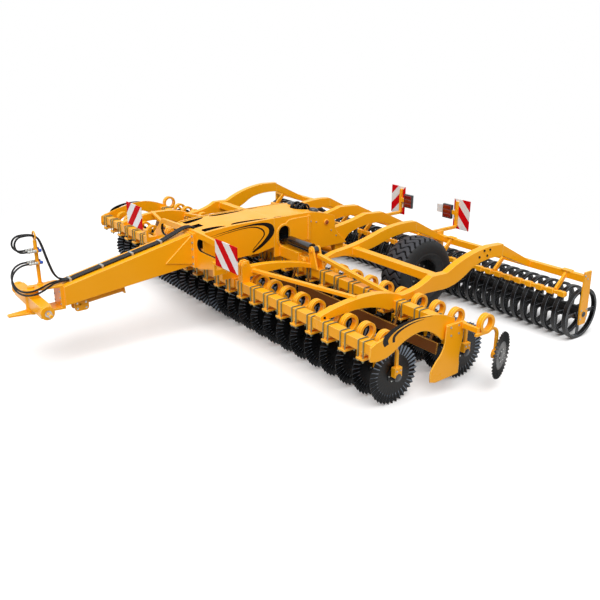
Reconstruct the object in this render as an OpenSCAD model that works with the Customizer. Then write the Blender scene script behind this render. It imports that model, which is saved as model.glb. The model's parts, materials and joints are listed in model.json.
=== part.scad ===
// Trailed disc harrow with coil spring arms, two rows of fluted discs,
// hydraulic folding wings and a ring roller behind.
// Front of the machine is -Y, its left side is +X, Z is up, ground at Z = 0.
// Along Y the sizes count from the front row of coils; place() centres the machine.

/* [Rows of discs] */
// Spacing of the discs across the machine
pitch = 250; // [235:5:265]
// Discs in each row of the centre section
centre_discs = 6; // [6:2:6]
// Discs in each row of one wing
wing_discs = 9; // [8:1:9]
// Distance between the two rows of coil arms
row_gap = 950; // [930:5:980]
// Radius of a fluted disc
disc_r = 300; // [290:1:305]
// Teeth on the rim of a fluted disc
disc_teeth = 36; // [24:1:40]
// Depth of the rim teeth
tooth_depth = 16; // [8:1:22]
// Thickness of a disc over its flutes
disc_t = 12; // [10:1:16]
// Thickness of a disc between its flutes
disc_web = 7; // [5:1:9]
// Radius where the flutes begin
flute_r = 190; // [170:1:210]
// Radius of the flange that bolts a disc to its hub
flange_r = 78; // [60:1:90]

/* [Coil arms] */
// Side of the square spring bar
bar = 30; // [26:1:32]
// Outer radius of the coil
coil_r = 98; // [90:1:102]
// Height of the coil's centre
coil_z = 700; // [690:1:705]
// Depth of the groove between the two turns
coil_groove = 7; // [3:1:9]
// Distance of a disc's centre behind its coil
disc_back = 150; // [145:1:160]
// Radius of the bend above the hub, to the bar's middle
bend_r = 90; // [70:1:95]
// Radius of a hub housing
hub_r = 46; // [40:1:50]
// Length of a hub housing
hub_l = 54; // [46:1:58]
// Radius of a disc's stub axle
stub_r = 20; // [16:1:24]
// Width of an arm's clamp
clamp_w = 90; // [80:1:100]
// Thickness of the clamp plate under the bar
clamp_t = 20; // [14:1:24]
// Half length of the clamp plate, ahead of and behind the toolbar's middle
clamp_reach = 72; // [66:1:76]

/* [Beams] */
// Side of the square toolbars
beam = 100; // [90:1:110]
// Distance of a toolbar ahead of its coils
beam_ahead = 230; // [225:1:240]
// Gap between centre and wing toolbars at the fold
beam_gap = 45; // [40:1:50]
// Width of the long members that carry the wing
member_w = 80; // [60:1:84]
// Place of the inner member along the wing's toolbars
inner_x = 880; // [878:1:884]
// Place of the middle member along the wing's toolbars
mid_x = 2250; // [2240:1:2260]
// Thickness of the end plates
plate_t = 20; // [14:1:24]
// Height of the levelling board
board_h = 110; // [90:1:120]

/* [Fold] */
// Height of the fold hinges
hinge_z = 810; // [805:1:815]
// Radius of the hinge pins
pin_r = 25; // [20:1:30]
// Radius of the hinge lugs
lug_r = 48; // [44:1:50]
// Thickness of a hinge lug on the wing
lug_t = 30; // [24:1:34]
// Thickness of a hinge cheek on the chassis
cheek_t = 20; // [14:1:24]
// Gap between lug and cheek
lug_gap = 5; // [3:0.5:6]
// Height of the cylinder's eye above the ground
eye_z = 970; // [966:1:976]
// Place of the cylinder's eye across the machine
eye_x = 930; // [926:1:936]
// Radius of the cylinder's barrel
barrel_r = 62; // [55:1:64]
// Length of the barrel from its eye
barrel_l = 470; // [440:1:480]
// Radius of the cylinder's rod
rod_r = 45; // [40:1:48]
// Place of the rod's eye inside the tower
anchor_x = 62; // [56:1:70]

/* [Tower and drawbar] */
// Half width of the tower
tower_x = 300; // [290:1:310]
// Thickness of the tower's plates
wall = 25; // [16:1:28]
// Thickness of the deck
deck_t = 20; // [12:1:24]
// Height of the deck on the tower
deck_z = 1240; // [1220:1:1250]
// Width of the drawbar
draw_w = 260; // [240:1:280]
// Rear face of the drawbar's flange
flange_y = -430; // [-440:1:-420]
// Front end of the drawbar's box
draw_y = -1950; // [-1980:1:-1930]
// Half length of the front beam that carries the boards
front_x = 850; // [830:1:870]
// Place of the hitch bar's upright pin
hitch_y = -2250; // [-2270:1:-2240]
// Radius of the upright pin
king_r = 35; // [28:1:40]
// Distance between the shoulders of the hitch bar
link_span = 965; // [900:1:1000]
// Radius of the link pins, category 3
link_r = 18.3; // [18.3:0.1:18.3]
// Length of a link pin
link_l = 110; // [90:1:130]

/* [Wheels] */
// Radius of the tyres
tyre_r = 470; // [460:1:475]
// Width of the tyres
tyre_w = 400; // [380:1:410]
// Radius of the rims
rim_r = 216; // [200:1:230]
// Distance of a tyre's middle from the machine's middle
wheel_x = 1160; // [1155:1:1180]
// Place of the wheels along the machine
wheel_y = 2150; // [2130:1:2155]
// Place of the axle's pivot along the machine
pivot_y = 1600; // [1590:1:1610]
// Height of the axle's pivot
pivot_z = 620; // [610:1:630]
// Radius of the axle tube
axle_r = 58; // [50:1:62]

/* [Roller] */
// Radius of the ring roller
roller_r = 300; // [290:1:305]
// Place of the roller along the machine
roller_y = 2970; // [2965:1:2990]
// Spacing of the rings, as near as they divide the roller
ring_pitch = 146; // [130:1:160]
// Width of a ring
ring_w = 52; // [40:1:60]
// Thickness of a ring
ring_t = 30; // [20:1:34]
// Radius of the roller's core tube
core_r = 82; // [60:1:90]
// Radius of the roller's shaft ends
shaft_r = 30; // [24:1:34]
// Spokes of a ring
spokes = 4; // [3:1:6]

/* [Hoses] */
// Radius of a hydraulic hose
hose_r = 10; // [8:1:12]
// Spacing of the hoses along the drawbar
hose_pitch = 24; // [23:1:26]
// Radius of a hose coupler
coupler_r = 15; // [13:1:18]
// Length of a hose coupler
coupler_l = 90; // [70:1:100]

/* [Boards] */
// Long side of a warning board
sign_long = 423; // [400:1:430]
// Short side of a warning board
sign_short = 282; // [270:1:290]
// Thickness of a warning board
sign_t = 10; // [6:1:14]
// Back face of the rear boards
sign_rear_y = 3545; // [3535:1:3555]
// Distance of a rear board's middle from the machine's middle
sign_rear_x = 635; // [625:1:645]
// Distance of a front board's middle from the machine's middle
sign_front_x = 1110; // [1100:1:1120]

/* [Hidden] */
$fn = 48;
eps = 0.3;
paint = "orange";
steel = "#222426";

// Lines shared by many pieces
rows = [0, row_gap];
half_centre = pitch * centre_discs / 2;
half_w = half_centre + pitch * wing_discs;
hinge_x = half_centre + beam_gap / 3;
centre_end = half_centre - beam_gap / 3;
wing_in = centre_end + beam_gap;
wing_out = half_w - 5;
beam_top = coil_z + 60;
beam_bottom = beam_top - beam;
front_tip = hitch_y - 260;
sign_front_y = flange_y - 146;
rear_end = sign_rear_y + sign_t;
mid_y = (front_tip + rear_end) / 2;
hinge_front_y = rows[0] - 150;
hinge_rear_y = rows[1] - 250;
stop_x = hinge_x - lug_r - 13;
inner_face = inner_x - member_w / 2;
member_rear = 2360;
roller_beam_y = roller_y - 40;
roller_beam_z = 2 * roller_r + 90;
roller_beam_h = 80;
roller_beam_rear = roller_beam_y + 30;

// Points on a curve that leaves a towards b and ends at c
function bend(a, b, c, n = 7) =
    [for (i = [0 : n]) let (t = i / n) (1 - t) * (1 - t) * a + 2 * t * (1 - t) * b + t * t * c];

module place() { translate([0, -mid_y, 0]) children(); }

module both() {
    children();
    mirror([1, 0, 0]) children();
}

// Extrudes an outline drawn in Y and Z along X
module yz(x, t) { translate([x, 0, 0]) rotate([90, 0, 90]) linear_extrude(t) children(); }

// Extrudes an outline drawn in X and Z along Y
module xz(y, t) { translate([0, y + t, 0]) rotate([90, 0, 0]) linear_extrude(t) children(); }

// Round bars along X and Y
module rod_x(x, y, z, r, l) { translate([x, y, z]) rotate([0, 90, 0]) cylinder(r = r, h = l); }
module rod_y(x, y, z, r, l) { translate([x, y + l, z]) rotate([90, 0, 0]) cylinder(r = r, h = l); }

// A box from its two corners
module block(a, b) { translate(a) cube(b - a); }

// An upright slot with round ends, as an outline
module slot(u, v0, v1, r) {
    translate([u, v0]) circle(r);
    translate([u, v1]) circle(r);
    translate([u - r, v0]) square([2 * r, v1 - v0]);
}

// Places of the discs of one wing and of the centre section
function wing_places() = [for (i = [0 : wing_discs - 1]) half_centre + pitch * (i + 0.5)];
function centre_places() = [for (i = [0 : centre_discs / 2 - 1]) pitch * (i + 0.5)];

// Distance of a disc's middle inboard of its coil
disc_inset = 20;
hub_start = -4;
housing_h = 96;

// The straight bar is a little smaller than the coil's own section, so that it runs into it cleanly
bar_flat = 1;
bar_h = bar - 2 * bar_flat;
groove_w = 4;
strand_in = groove_w / 2 + bar_flat;
strand_w = bar - bar_flat - strand_in;

// The coil of an arm: two turns side by side with a groove between them
module coil(x, y, z) {
    difference() {
        rod_x(x - bar, y, z, coil_r, 2 * bar);
        rod_x(x - bar - 1, y, z, coil_r - bar, 2 * bar + 2);
        difference() {
            rod_x(x - groove_w / 2, y, z, coil_r + 1, groove_w);
            rod_x(x - groove_w, y, z, coil_r - coil_groove, 2 * groove_w);
        }
    }
}

// The bar behind a coil: straight, a bend and the leg down to the hub, its inner side at x
module leg(x, y, low, back, foot) {
    drop = y + back - bend_r;
    turn_z = low + bar_h / 2 - bend_r;
    block([x, y, low], [x + strand_w, drop, low + bar_h]);
    translate([x, drop, turn_z]) rotate([90, 0, 90])
        rotate_extrude(angle = 90) translate([bend_r - bar_h / 2, 0]) square([bar_h, strand_w]);
    block([x, y + back - bar_h / 2, foot], [x + strand_w, y + back + bar_h / 2, turn_z]);
}

// One coil spring arm with the hub that its disc runs in
module arm(x, y) {
    low = coil_z - coil_r + bar_flat;
    hub_z = disc_r;
    coil(x, y, coil_z);
    block([x - strand_in - strand_w, y - beam_ahead - beam / 2, low], [x - strand_in, y, low + bar_h]);
    block([x - clamp_w / 2, y - beam_ahead - beam / 2, low + bar_h],
          [x + clamp_w / 2, y - beam_ahead + beam / 2, beam_bottom]);
    block([x - clamp_w / 2, y - beam_ahead - clamp_reach, low - clamp_t],
          [x + clamp_w / 2, y - beam_ahead + clamp_reach, low]);
    difference() {
        union() {
            leg(x + strand_in, y, low, disc_back, hub_z);
            rod_x(x + hub_start, y + disc_back, hub_z, hub_r, hub_l);
            block([x + hub_start, y + disc_back - hub_r + 2, hub_z],
                  [x + hub_start + hub_l, y + disc_back + hub_r - 2, hub_z + housing_h]);
        }
        rod_x(x + hub_start - 1, y + disc_back, hub_z, stub_r + eps, hub_l + 2);
    }
}

// The plate of a fluted disc: a thin toothed web and the flutes that run out to its teeth
module fluted_plate(r, depth, start) {
    tooth = 360 / disc_teeth;
    rim = [for (i = [0 : disc_teeth - 1], k = [0, 1])
        let (q = r - k * depth, a = (i + k / 2) * tooth) [q * cos(a), q * sin(a)]];
    crest = r - depth;
    flutes = [for (i = [0 : disc_teeth - 1], k = [[start, -0.5], [crest, -0.24], [crest, 0.24]])
        let (a = (i + k[1]) * tooth) [k[0] * cos(a), k[0] * sin(a)]];
    translate([0, 0, -disc_web / 2]) linear_extrude(disc_web) polygon(rim);
    linear_extrude(disc_t - disc_web / 2) polygon(flutes);
}

// One fluted disc with its flange and stub axle, its coil at x
module disc(x, y) {
    translate([x - disc_inset, y + disc_back, disc_r]) rotate([0, 90, 0]) {
        fluted_plate(disc_r, tooth_depth, flute_r);
        cylinder(r = flange_r, h = disc_inset + hub_start - 5);
        cylinder(r = stub_r, h = disc_inset + hub_start + hub_l + 6);
    }
}

// Drawbar: tapered box, rear flange and the fork at the front
fork_t = 20;
fork_low = 600;
fork_high = 842;
module drawbar() {
    box_rear = flange_y - 30;
    color(paint) place() difference() {
        union() {
            yz(-draw_w / 2, draw_w)
                polygon([[draw_y, 637], [draw_y, fork_high], [box_rear, 1165], [box_rear, 800]]);
            block([-draw_w / 2 - 55, box_rear, 780], [draw_w / 2 + 55, flange_y, 1185]);
            both() yz(draw_w / 2, 10) polygon([[box_rear - 330, 880], [box_rear, 1150], [box_rear, 815]]);
            block([-110, draw_y - 40, fork_low], [110, draw_y, fork_high + fork_t]);
            for (z = [fork_low, fork_high]) translate([0, 0, z]) linear_extrude(fork_t) {
                translate([0, hitch_y]) circle(85);
                polygon([[-110, draw_y - 40], [-80, hitch_y], [80, hitch_y], [110, draw_y - 40]]);
            }
            translate([0, 0, fork_low]) linear_extrude(fork_t)
                polygon([[-75, hitch_y], [-28, front_tip], [28, front_tip], [75, hitch_y]]);
            both() yz(36, 16) {
                translate([leg_y, leg_z]) circle(46);
                polygon([[leg_y - 80, 656], [leg_y + 110, 676],
                         [leg_y + 44, leg_z - 10], [leg_y - 44, leg_z - 10]]);
            }
        }
        translate([0, hitch_y, fork_low - 1]) cylinder(r = king_r + eps, h = fork_high - fork_low + fork_t + 2);
        rod_x(-60, leg_y, leg_z, leg_pin_r + eps, 120);
    }
}

// Hitch bar between the fork's plates, with the two link pins
module hitch_bar() {
    shoulder = link_span / 2;
    middle = (fork_low + fork_t + fork_high) / 2;
    color(paint) place() {
        translate([0, hitch_y, fork_low - 20]) cylinder(r = king_r, h = fork_high - fork_low + fork_t + 40);
        translate([0, hitch_y, fork_low + fork_t + lug_gap])
            cylinder(r = 72, h = fork_high - fork_low - fork_t - 2 * lug_gap);
        both() {
            yz(0, shoulder - 40) polygon([[hitch_y - 55, middle - 60], [hitch_y + 55, middle - 60],
                                          [hitch_y + 55, middle + 60], [hitch_y - 55, middle + 60]]);
            rod_x(shoulder - 40, hitch_y, middle, 70, 40);
            rod_x(shoulder, hitch_y, middle, link_r, link_l);
        }
    }
}

// Post with a loop on top that holds the hoses and their couplers
stand_x = -72;
stand_y = hitch_y + 10;
stand_h = 480;
coupler_x = [-32, -112];
coupler_z = [1227, 1100];
module hose_stand() {
    top = fork_high + fork_t;
    color(paint) place() translate([stand_x, stand_y + 110, top]) {
        cylinder(r = 30, h = 12);
        cylinder(r = 13, h = stand_h);
        for (z = coupler_z) translate([-60, -8, z - top - 15]) cube([120, 16, 30]);
        translate([0, 0, stand_h + 38]) rotate([90, 0, 0]) rotate_extrude() translate([42, 0]) circle(8);
    }
}

// Parking leg, stowed under the drawbar
leg_y = -1780;
leg_z = 596;
leg_l = 500;
leg_r = 32;
leg_pin_r = 14;
leg_tilt = 6;
module parking_leg() {
    color(paint) place() translate([0, leg_y, leg_z]) {
        rotate([leg_tilt - 90, 0, 0]) {
            translate([0, 0, 24]) cylinder(r = leg_r, h = leg_l - 24);
            translate([-70, -34, leg_l]) cube([140, 68, 14]);
        }
        rod_x(-30, 0, 0, 34, 60);
        rod_x(-58, 0, 0, leg_pin_r, 116);
    }
}

// Cheeks and pin of one fold hinge on the chassis
module hinge_seat(y) {
    grip = lug_t / 2 + lug_gap;
    for (side = [-grip - cheek_t, grip]) xz(y + side, cheek_t) {
        translate([hinge_x, hinge_z]) circle(lug_r);
        translate([stop_x, hinge_z - lug_r]) square([hinge_x - stop_x, 2 * lug_r]);
    }
    rod_y(hinge_x, y - grip - cheek_t - 12, hinge_z, pin_r, 2 * (grip + cheek_t + 12));
}

// Front frame: cross plate with its windows, hangers with the front hinges, side plates and the deck
side_y0 = flange_y + 30;
side_y1 = 560;
slope_y = side_y0 + 300;
deck_front_z = 1200;
lip = 4;
hanger_w = 60;
hanger_z = 872;
window_z = 1065;
window_r = 72;
window_x = [290, 620];
bulkhead_y = 0;
notch_x = 62;
module front_frame() {
    color(paint) place() {
        xz(flange_y, 30) difference() {
            polygon([[-front_x, 890], [-front_x, 1010], [-650, 1195], [-250, deck_front_z + 10],
                     [250, deck_front_z + 10], [650, 1195], [front_x, 1010], [front_x, 890],
                     [650, hanger_z], [250, beam_top + 15], [-250, beam_top + 15], [-650, hanger_z]]);
            both() rotate(-90) slot(-window_z, window_x[0], window_x[1], window_r);
        }
        both() {
            block([stop_x - hanger_w, side_y0, beam_top], [stop_x, hinge_front_y + 60, hanger_z]);
            block([stop_x - hanger_w, side_y0 - 2, hanger_z - 2], [stop_x, side_y0 + 120, 960]);
            hinge_seat(hinge_front_y);
            yz(tower_x, wall)
                polygon(concat([[side_y0 - 2, 830], [side_y0 - 2, deck_front_z + lip]],
                               bend([side_y0 + 40, deck_front_z + lip + 12], [slope_y, deck_z + lip],
                                    [slope_y + 260, deck_z + lip], 5),
                               [[side_y1, deck_z + lip], [side_y1, 890], [side_y1 - 220, 850]]));
        }
        difference() {
            yz(-tower_x - 2, 2 * tower_x + 4)
                polygon(concat([[side_y0 - 2, deck_front_z - deck_t], [side_y0 - 2, deck_front_z]],
                               bend([side_y0 + 40, deck_front_z + 10], [slope_y, deck_z],
                                    [slope_y + 260, deck_z], 5),
                               [[side_y1, deck_z], [side_y1, deck_z - deck_t],
                                [slope_y + 260, deck_z - deck_t]]));
            translate([0, 0, deck_front_z - 60]) linear_extrude(160) {
                both() polygon(concat(
                    bend([tower_x - 30, side_y0 + 48], [140, side_y0 + 20], [170, side_y0 + 120], 4),
                    bend([180, side_y0 + 180], [215, -90], [tower_x - 30, -70], 4)));
                both() polygon(concat(
                    [[tower_x - 28, 10]], bend([tower_x - 60, 5], [185, 60], [tower_x - 75, 360], 5),
                    [[tower_x - 40, 500], [tower_x - 28, 505]]));
                translate([-notch_x, side_y0 + 4]) square([2 * notch_x, 150]);
            }
        }
        block([-120, bulkhead_y, 1110], [120, bulkhead_y + 16, deck_z - deck_t + 2]);
    }
}

// Tower: side plates with the cylinders' openings, deck, rear wall and the arm to the rear hinges
cyl_y = hinge_rear_y + 5;
arm_top = 890;
tower_rear = 1400;
deck_turn_y = 1000;
rear_z = 1176;
pad_t = 8;
rib_y = 1060;
module tower() {
    hole = barrel_r + 22;
    hole_z = [eye_z + 4, eye_z + 78];
    color(paint) place() {
        both() {
            yz(tower_x, wall) difference() {
                polygon(concat([[side_y1, beam_top], [side_y1, deck_z + lip]],
                               bend([deck_turn_y, deck_z + lip], [1250, deck_z + lip], [1486, 1146]),
                               bend([1500, 1080], [1480, 980], [1560, 900], 4), [[1700, beam_top]]));
                slot(cyl_y, hole_z[0], hole_z[1], hole);
            }
            yz(tower_x + wall - 2, pad_t + 2) difference() {
                union() {
                    slot(cyl_y, hole_z[0], hole_z[1], hole + 24);
                    polygon(concat(bend([cyl_y, 1060], [cyl_y, 1200], [cyl_y + 120, 1200], 4),
                                   [[rib_y + 2, 1200], [rib_y + 2, 905], [cyl_y, 905]]));
                }
                slot(cyl_y, hole_z[0], hole_z[1], hole);
            }
            block([tower_x + wall - 2, rib_y, 900], [tower_x + wall + 22, rib_y + 30, 1210]);
            rod_x(tower_x + wall - 2, 1355, 1080, 32, 16);
            block([tower_x + wall - 2, hinge_rear_y - 62, beam_top], [stop_x, hinge_rear_y + 62, arm_top]);
            hinge_seat(hinge_rear_y);
        }
        difference() {
            yz(-tower_x - 2, 2 * tower_x + 4)
                polygon(concat([[side_y1, deck_z - deck_t], [side_y1, deck_z]],
                               bend([deck_turn_y, deck_z], [1240, deck_z], [tower_rear - 2, rear_z], 5),
                               [[tower_rear - 2, rear_z - deck_t], [deck_turn_y + 120, deck_z - deck_t]]));
            translate([0, 0, rear_z - 60]) linear_extrude(160) {
                both() translate([tower_x - 70, 1225]) circle(44);
                both() polygon([[tower_x - 16, 580], [tower_x - 36, 590],
                                [tower_x - 30, 690], [tower_x - 16, 730]]);
                polygon(concat(bend([-150, 1290], [-150, 1060], [0, 1050], 5),
                               bend([40, 1052], [150, 1070], [150, 1290], 5)));
            }
        }
        block([-tower_x - 2, tower_rear - wall, beam_top], [tower_x + 2, tower_rear, rear_z - deck_t + 6]);
        block([-tower_x - 2, hinge_rear_y - 62, beam_top], [tower_x + 2, hinge_rear_y + 62, arm_top - 60]);
        for (y = [cyl_y - 62, cyl_y + 38])
            block([-anchor_x - 52, y, arm_top - 62], [anchor_x + 52, y + 24, eye_z + 60]);
    }
}

// Tail: two beams over the axle to the centre roller, with the axle's pivot plates
tail_x = 220;
module tail_frame() {
    color(paint) place() both() difference() {
        union() {
            yz(tail_x, member_w)
                polygon(concat([[tower_rear, beam_top], [tower_rear, 965]],
                               bend([1500, 975], [1800, 1010], [2050, 1080]),
                               [[member_rear, 1060], [roller_beam_y - 30, roller_beam_z + 110],
                                [roller_beam_y - 30, roller_beam_z + 10]],
                               bend([member_rear - 20, 930], [2000, 960], [1760, 860]), [[1660, beam_top]]));
            yz(tail_x, member_w)
                polygon([[1520, beam_top], [1660, beam_top], [pivot_y + 55, pivot_z - 50],
                         [pivot_y - 55, pivot_z - 50]]);
        }
        rod_x(tail_x - 1, pivot_y, pivot_z, 30 + eps, member_w + 2);
    }
}

// Axle that swings on its pivot to lift the wheels
module axle() {
    axle_z = tyre_r;
    color(paint) place() {
        rod_x(-tail_x + 6, pivot_y, pivot_z, 46, 2 * tail_x - 12);
        rod_x(-tail_x - member_w, pivot_y, pivot_z, 30, 2 * (tail_x + member_w));
        both() yz(120, 60) polygon([[pivot_y, pivot_z - 42], [pivot_y, pivot_z + 42],
                                    [wheel_y, axle_z + 52], [wheel_y, axle_z - 52]]);
        rod_x(-wheel_x + 200 + 24, wheel_y, axle_z, axle_r, 2 * wheel_x - 448);
        both() rod_x(0, wheel_y, axle_z, 40, wheel_x + 90);
    }
}

// Tyre, its round shoulders drawn as curves
module tyre(x) {
    h = tyre_w / 2;
    color(steel) place() translate([x, wheel_y, tyre_r]) rotate([0, 90, 0]) rotate_extrude($fn = 72)
        polygon(concat([[rim_r + eps, -h * 0.72], [rim_r + 60, -h * 0.96]],
                       bend([rim_r + 110, -h], [tyre_r - 8, -h], [tyre_r - 14, -h * 0.62], 5),
                       bend([tyre_r - 9, -h * 0.4], [tyre_r + 9, 0], [tyre_r - 9, h * 0.4], 6),
                       bend([tyre_r - 14, h * 0.62], [tyre_r - 8, h], [rim_r + 110, h], 5),
                       [[rim_r + 60, h * 0.96], [rim_r + eps, h * 0.72]]));
}

// Rim with its dished disc and hub, side is 1 where the dish faces +X
module rim(x, side) {
    h = tyre_w / 2 * 0.72;
    color(paint) place() translate([x, wheel_y, tyre_r]) rotate([0, 90, 0]) scale([1, 1, 1])
        mirror([0, 0, side > 0 ? 0 : 1]) rotate_extrude($fn = 72)
            polygon([[rim_r, -h], [rim_r - 12, -h], [rim_r - 26, -h + 40], [rim_r - 26, 10], [90, 44],
                     [40 + eps, 44], [40 + eps, 92], [72, 92], [78, 60], [rim_r - 20, 26], [rim_r - 22, h - 40],
                     [rim_r - 12, h], [rim_r, h]]);
}

// Toolbars
module bars(x0, x1) {
    for (y = rows)
        block([x0, y - beam_ahead - beam / 2, beam_bottom], [x1, y - beam_ahead + beam / 2, beam_top]);
}
module centre_toolbars() { color(paint) place() bars(-centre_end, centre_end); }
module toolbars_left() { color(paint) place() bars(wing_in, wing_out); }
module toolbars_right() { mirror([1, 0, 0]) toolbars_left(); }

// Coil arms
module centre_arms() {
    color(paint) place() both() for (y = rows, x = centre_places()) arm(x, y);
}
module arms_left() { color(paint) place() for (y = rows, x = wing_places()) arm(x, y); }
module arms_right() { mirror([1, 0, 0]) arms_left(); }

// Levelling board ahead of the second row, on drop arms from the toolbar
board_y = row_gap - beam_ahead - 140;
module board(x0, x1, n) {
    face = row_gap - beam_ahead - beam / 2;
    low = 440;
    translate([0, 0, 0]) yz(x0, x1 - x0)
        polygon([[board_y - 12, low], [board_y + 4, low],
                 [board_y + 20, low + board_h], [board_y + 4, low + board_h]]);
    for (i = [0 : n - 1]) yz(x0 + 100 + i * (x1 - x0 - 220) / (n - 1), 20)
        polygon([[board_y + 20, low + board_h - 6], [board_y + 9, low + board_h / 3], [face, beam_bottom + 10],
                 [face, beam_top - 20]]);
}
module centre_board() { color(paint) place() board(-centre_end + 5, centre_end - 5, 3); }
module board_left() { color(paint) place() board(wing_in + 5, wing_out - 10, 5); }
module board_right() { mirror([1, 0, 0]) board_left(); }

// Frame of a wing: inner and middle members, cross beam, braces, hinge lugs and the cylinder's bracket
function inner_outline() = let (b = row_gap - beam_ahead, h = beam / 2, over = coil_z + coil_r + 17)
    concat([[-beam_ahead - h, beam_top], [-beam_ahead - h, 955], [-beam_ahead - 20, 1000], [-190, 1000]],
           bend([-165, 930], [250, 935], [690, 800]), bend([760, 800], [870, 840], [1020, 880], 4),
           bend([1120, 890], [1400, 915], [1710, 1005]), bend([1750, 1018], [2060, 1090], [member_rear, 1055]),
           bend([member_rear, 930], [2040, 960], [1760, 870]), bend([1720, 858], [1450, 785], [1120, over], 5),
           [[b + h + 60, over], [b + h, beam_top], [b - h, beam_top]],
           bend([b - h - 30, beam_top], [330, 860], [-100, over], 5),
           [[-beam_ahead + h + 6, over], [-beam_ahead + h, beam_top]]);
function mid_outline() = let (b = row_gap - beam_ahead, h = beam / 2)
    concat([[-beam_ahead - h, beam_top], [-beam_ahead - h, 800]], bend([-260, 812], [80, 905], [450, 880]),
           bend([480, 876], [660, 850], [780, 792], 5), bend([800, 790], [1050, 800], [1220, 905], 5),
           bend([1450, 900], [1750, 1060], [2130, 1080]), [[member_rear, 1068]],
           bend([member_rear, 930], [2000, 960], [1830, 870], 5),
           bend([1800, 850], [1600, 720], [1400, 725], 5),
           [[1150, 735], [b + h + 50, 718], [b + h, 700], [b + h, beam_top], [b - h, beam_top], [b - h, 680]],
           bend([b - h - 60, 665], [420, 770], [150, 775], 5), [[-beam_ahead + h, beam_top]]);
cross_y = 1290;
cross_h = 88;
cross_d = 100;
post_gap = 28;
module frame_left() {
    tie_turn = atan2(330, mid_x - inner_x);
    tie_l = sqrt(pow(330, 2) + pow(mid_x - inner_x, 2));
    brace_from = [eye_x + 70, cyl_y, 920];
    brace_to = [mid_x - member_w / 2 + 20, cyl_y, beam_top + 22];
    brace_l = norm(brace_to - brace_from);
    brace_turn = atan2(brace_from[2] - brace_to[2], brace_to[0] - brace_from[0]);
    color(paint) place() difference() {
        union() {
            yz(inner_face, member_w) polygon(inner_outline());
            yz(mid_x - member_w / 2, member_w) polygon(mid_outline());
            block([inner_x, cross_y, 800], [mid_x, cross_y + cross_d, 800 + cross_h]);
            translate([inner_x, -140, 862]) rotate([0, 0, tie_turn])
                translate([0, -20, 0]) cube([tie_l, 40, 36]);
            translate(brace_from) rotate([0, brace_turn, 0]) translate([0, -22, -22]) cube([brace_l, 44, 44]);
            for (y = [hinge_front_y, hinge_rear_y]) xz(y - lug_t / 2, lug_t) {
                translate([hinge_x, hinge_z]) circle(lug_r);
                translate([hinge_x, hinge_z - lug_r]) square([inner_face - hinge_x + 1, 2 * lug_r]);
            }
            for (y = [cyl_y - 55, cyl_y + 35]) xz(y, 20) {
                translate([eye_x, eye_z]) circle(46);
                polygon([[eye_x - 46, eye_z], [eye_x + 46, eye_z],
                         [eye_x + 120, beam_top], [eye_x - 8, beam_top]]);
            }
            rod_y(eye_x, cyl_y - 67, eye_z, pin_r, 134);
        }
        block([inner_x - post_gap / 2, -beam_ahead - beam, 830], [inner_x + post_gap / 2, -186, 1010]);
        for (y = [hinge_front_y, hinge_rear_y])
            rod_y(hinge_x, y - lug_t, hinge_z, pin_r + eps, 2 * lug_t);
    }
    color(steel) place() rod_x(inner_face - 4, -beam_ahead - 5, 962, 22, member_w + 8);
}
module frame_right() { mirror([1, 0, 0]) frame_left(); }

// End plates of a wing: the arched plate over both toolbars and the side shield behind it
shield_gap = 20;
module end_plates_left() {
    b = row_gap - beam_ahead;
    color(paint) place() {
        yz(wing_out, plate_t)
            polygon(concat([[-290, 608], [-302, 650], [-292, 745], [-230, 772]],
                           bend([-190, 780], [150, 890], [400, 885]),
                           bend([430, 884], [590, 865], [b + 55, 775], 5), [[b + 55, 650], [615, 583]],
                           bend([600, 600], [450, 745], [320, 749], 4),
                           bend([300, 749], [130, 740], [-20, 632], 5),
                           [[-100, 600], [-220, 592]]));
        block([wing_out + plate_t, b - 60, beam_bottom],
              [wing_out + plate_t + shield_gap, b + 60, beam_top - 32]);
        yz(wing_out + plate_t + shield_gap, 12)
            polygon(concat([[b - 85, 730], [b + 158, 735]],
                           bend([b + 150, 560], [b + 100, 400], [b + 125, 290], 5),
                           bend([b + 120, 195], [b + 60, 185], [b - 200, 180], 4),
                           bend([b - 268, 200], [b - 285, 300], [b - 250, 340], 4),
                           bend([b - 200, 400], [b - 90, 480], [b - 95, 620], 5)));
    }
}
module end_plates_right() { mirror([1, 0, 0]) end_plates_left(); }

// Arm of the edge disc, outboard of the side shield
edge_x = 3236;
edge_z = 750;
edge_r = 240;
edge_hub_z = 372;
edge_turn = 20;
edge_back = 205;
edge_off = 62;
module edge_arm_left() {
    y = row_gap;
    low = edge_z - coil_r + bar_flat;
    shield = wing_out + plate_t + shield_gap + 12;
    color(paint) place() {
        block([shield, y - 110, low + 8], [shield + 26, y - 72, 730]);
        block([shield + 26, y - 130, low + bar_h], [edge_x + 20, y - 50 - coil_r / 2, low + bar_h + 52]);
        coil(edge_x, y, edge_z);
        block([edge_x + strand_in, y - 150, low], [edge_x + strand_in + strand_w, y, low + bar_h]);
        difference() {
            union() {
                leg(edge_x - strand_in - strand_w, y, low, edge_back, edge_hub_z + 20);
                translate([edge_x - bar / 2, y + edge_back, edge_hub_z]) rotate([0, 0, edge_turn])
                    rod_x(-hub_l / 2, 0, 0, hub_r, hub_l);
            }
            translate([edge_x - bar / 2, y + edge_back, edge_hub_z]) rotate([0, 0, edge_turn])
                rod_x(-hub_l, 0, 0, stub_r + eps, 2 * hub_l);
        }
    }
}
module edge_arm_right() { mirror([1, 0, 0]) edge_arm_left(); }
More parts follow.
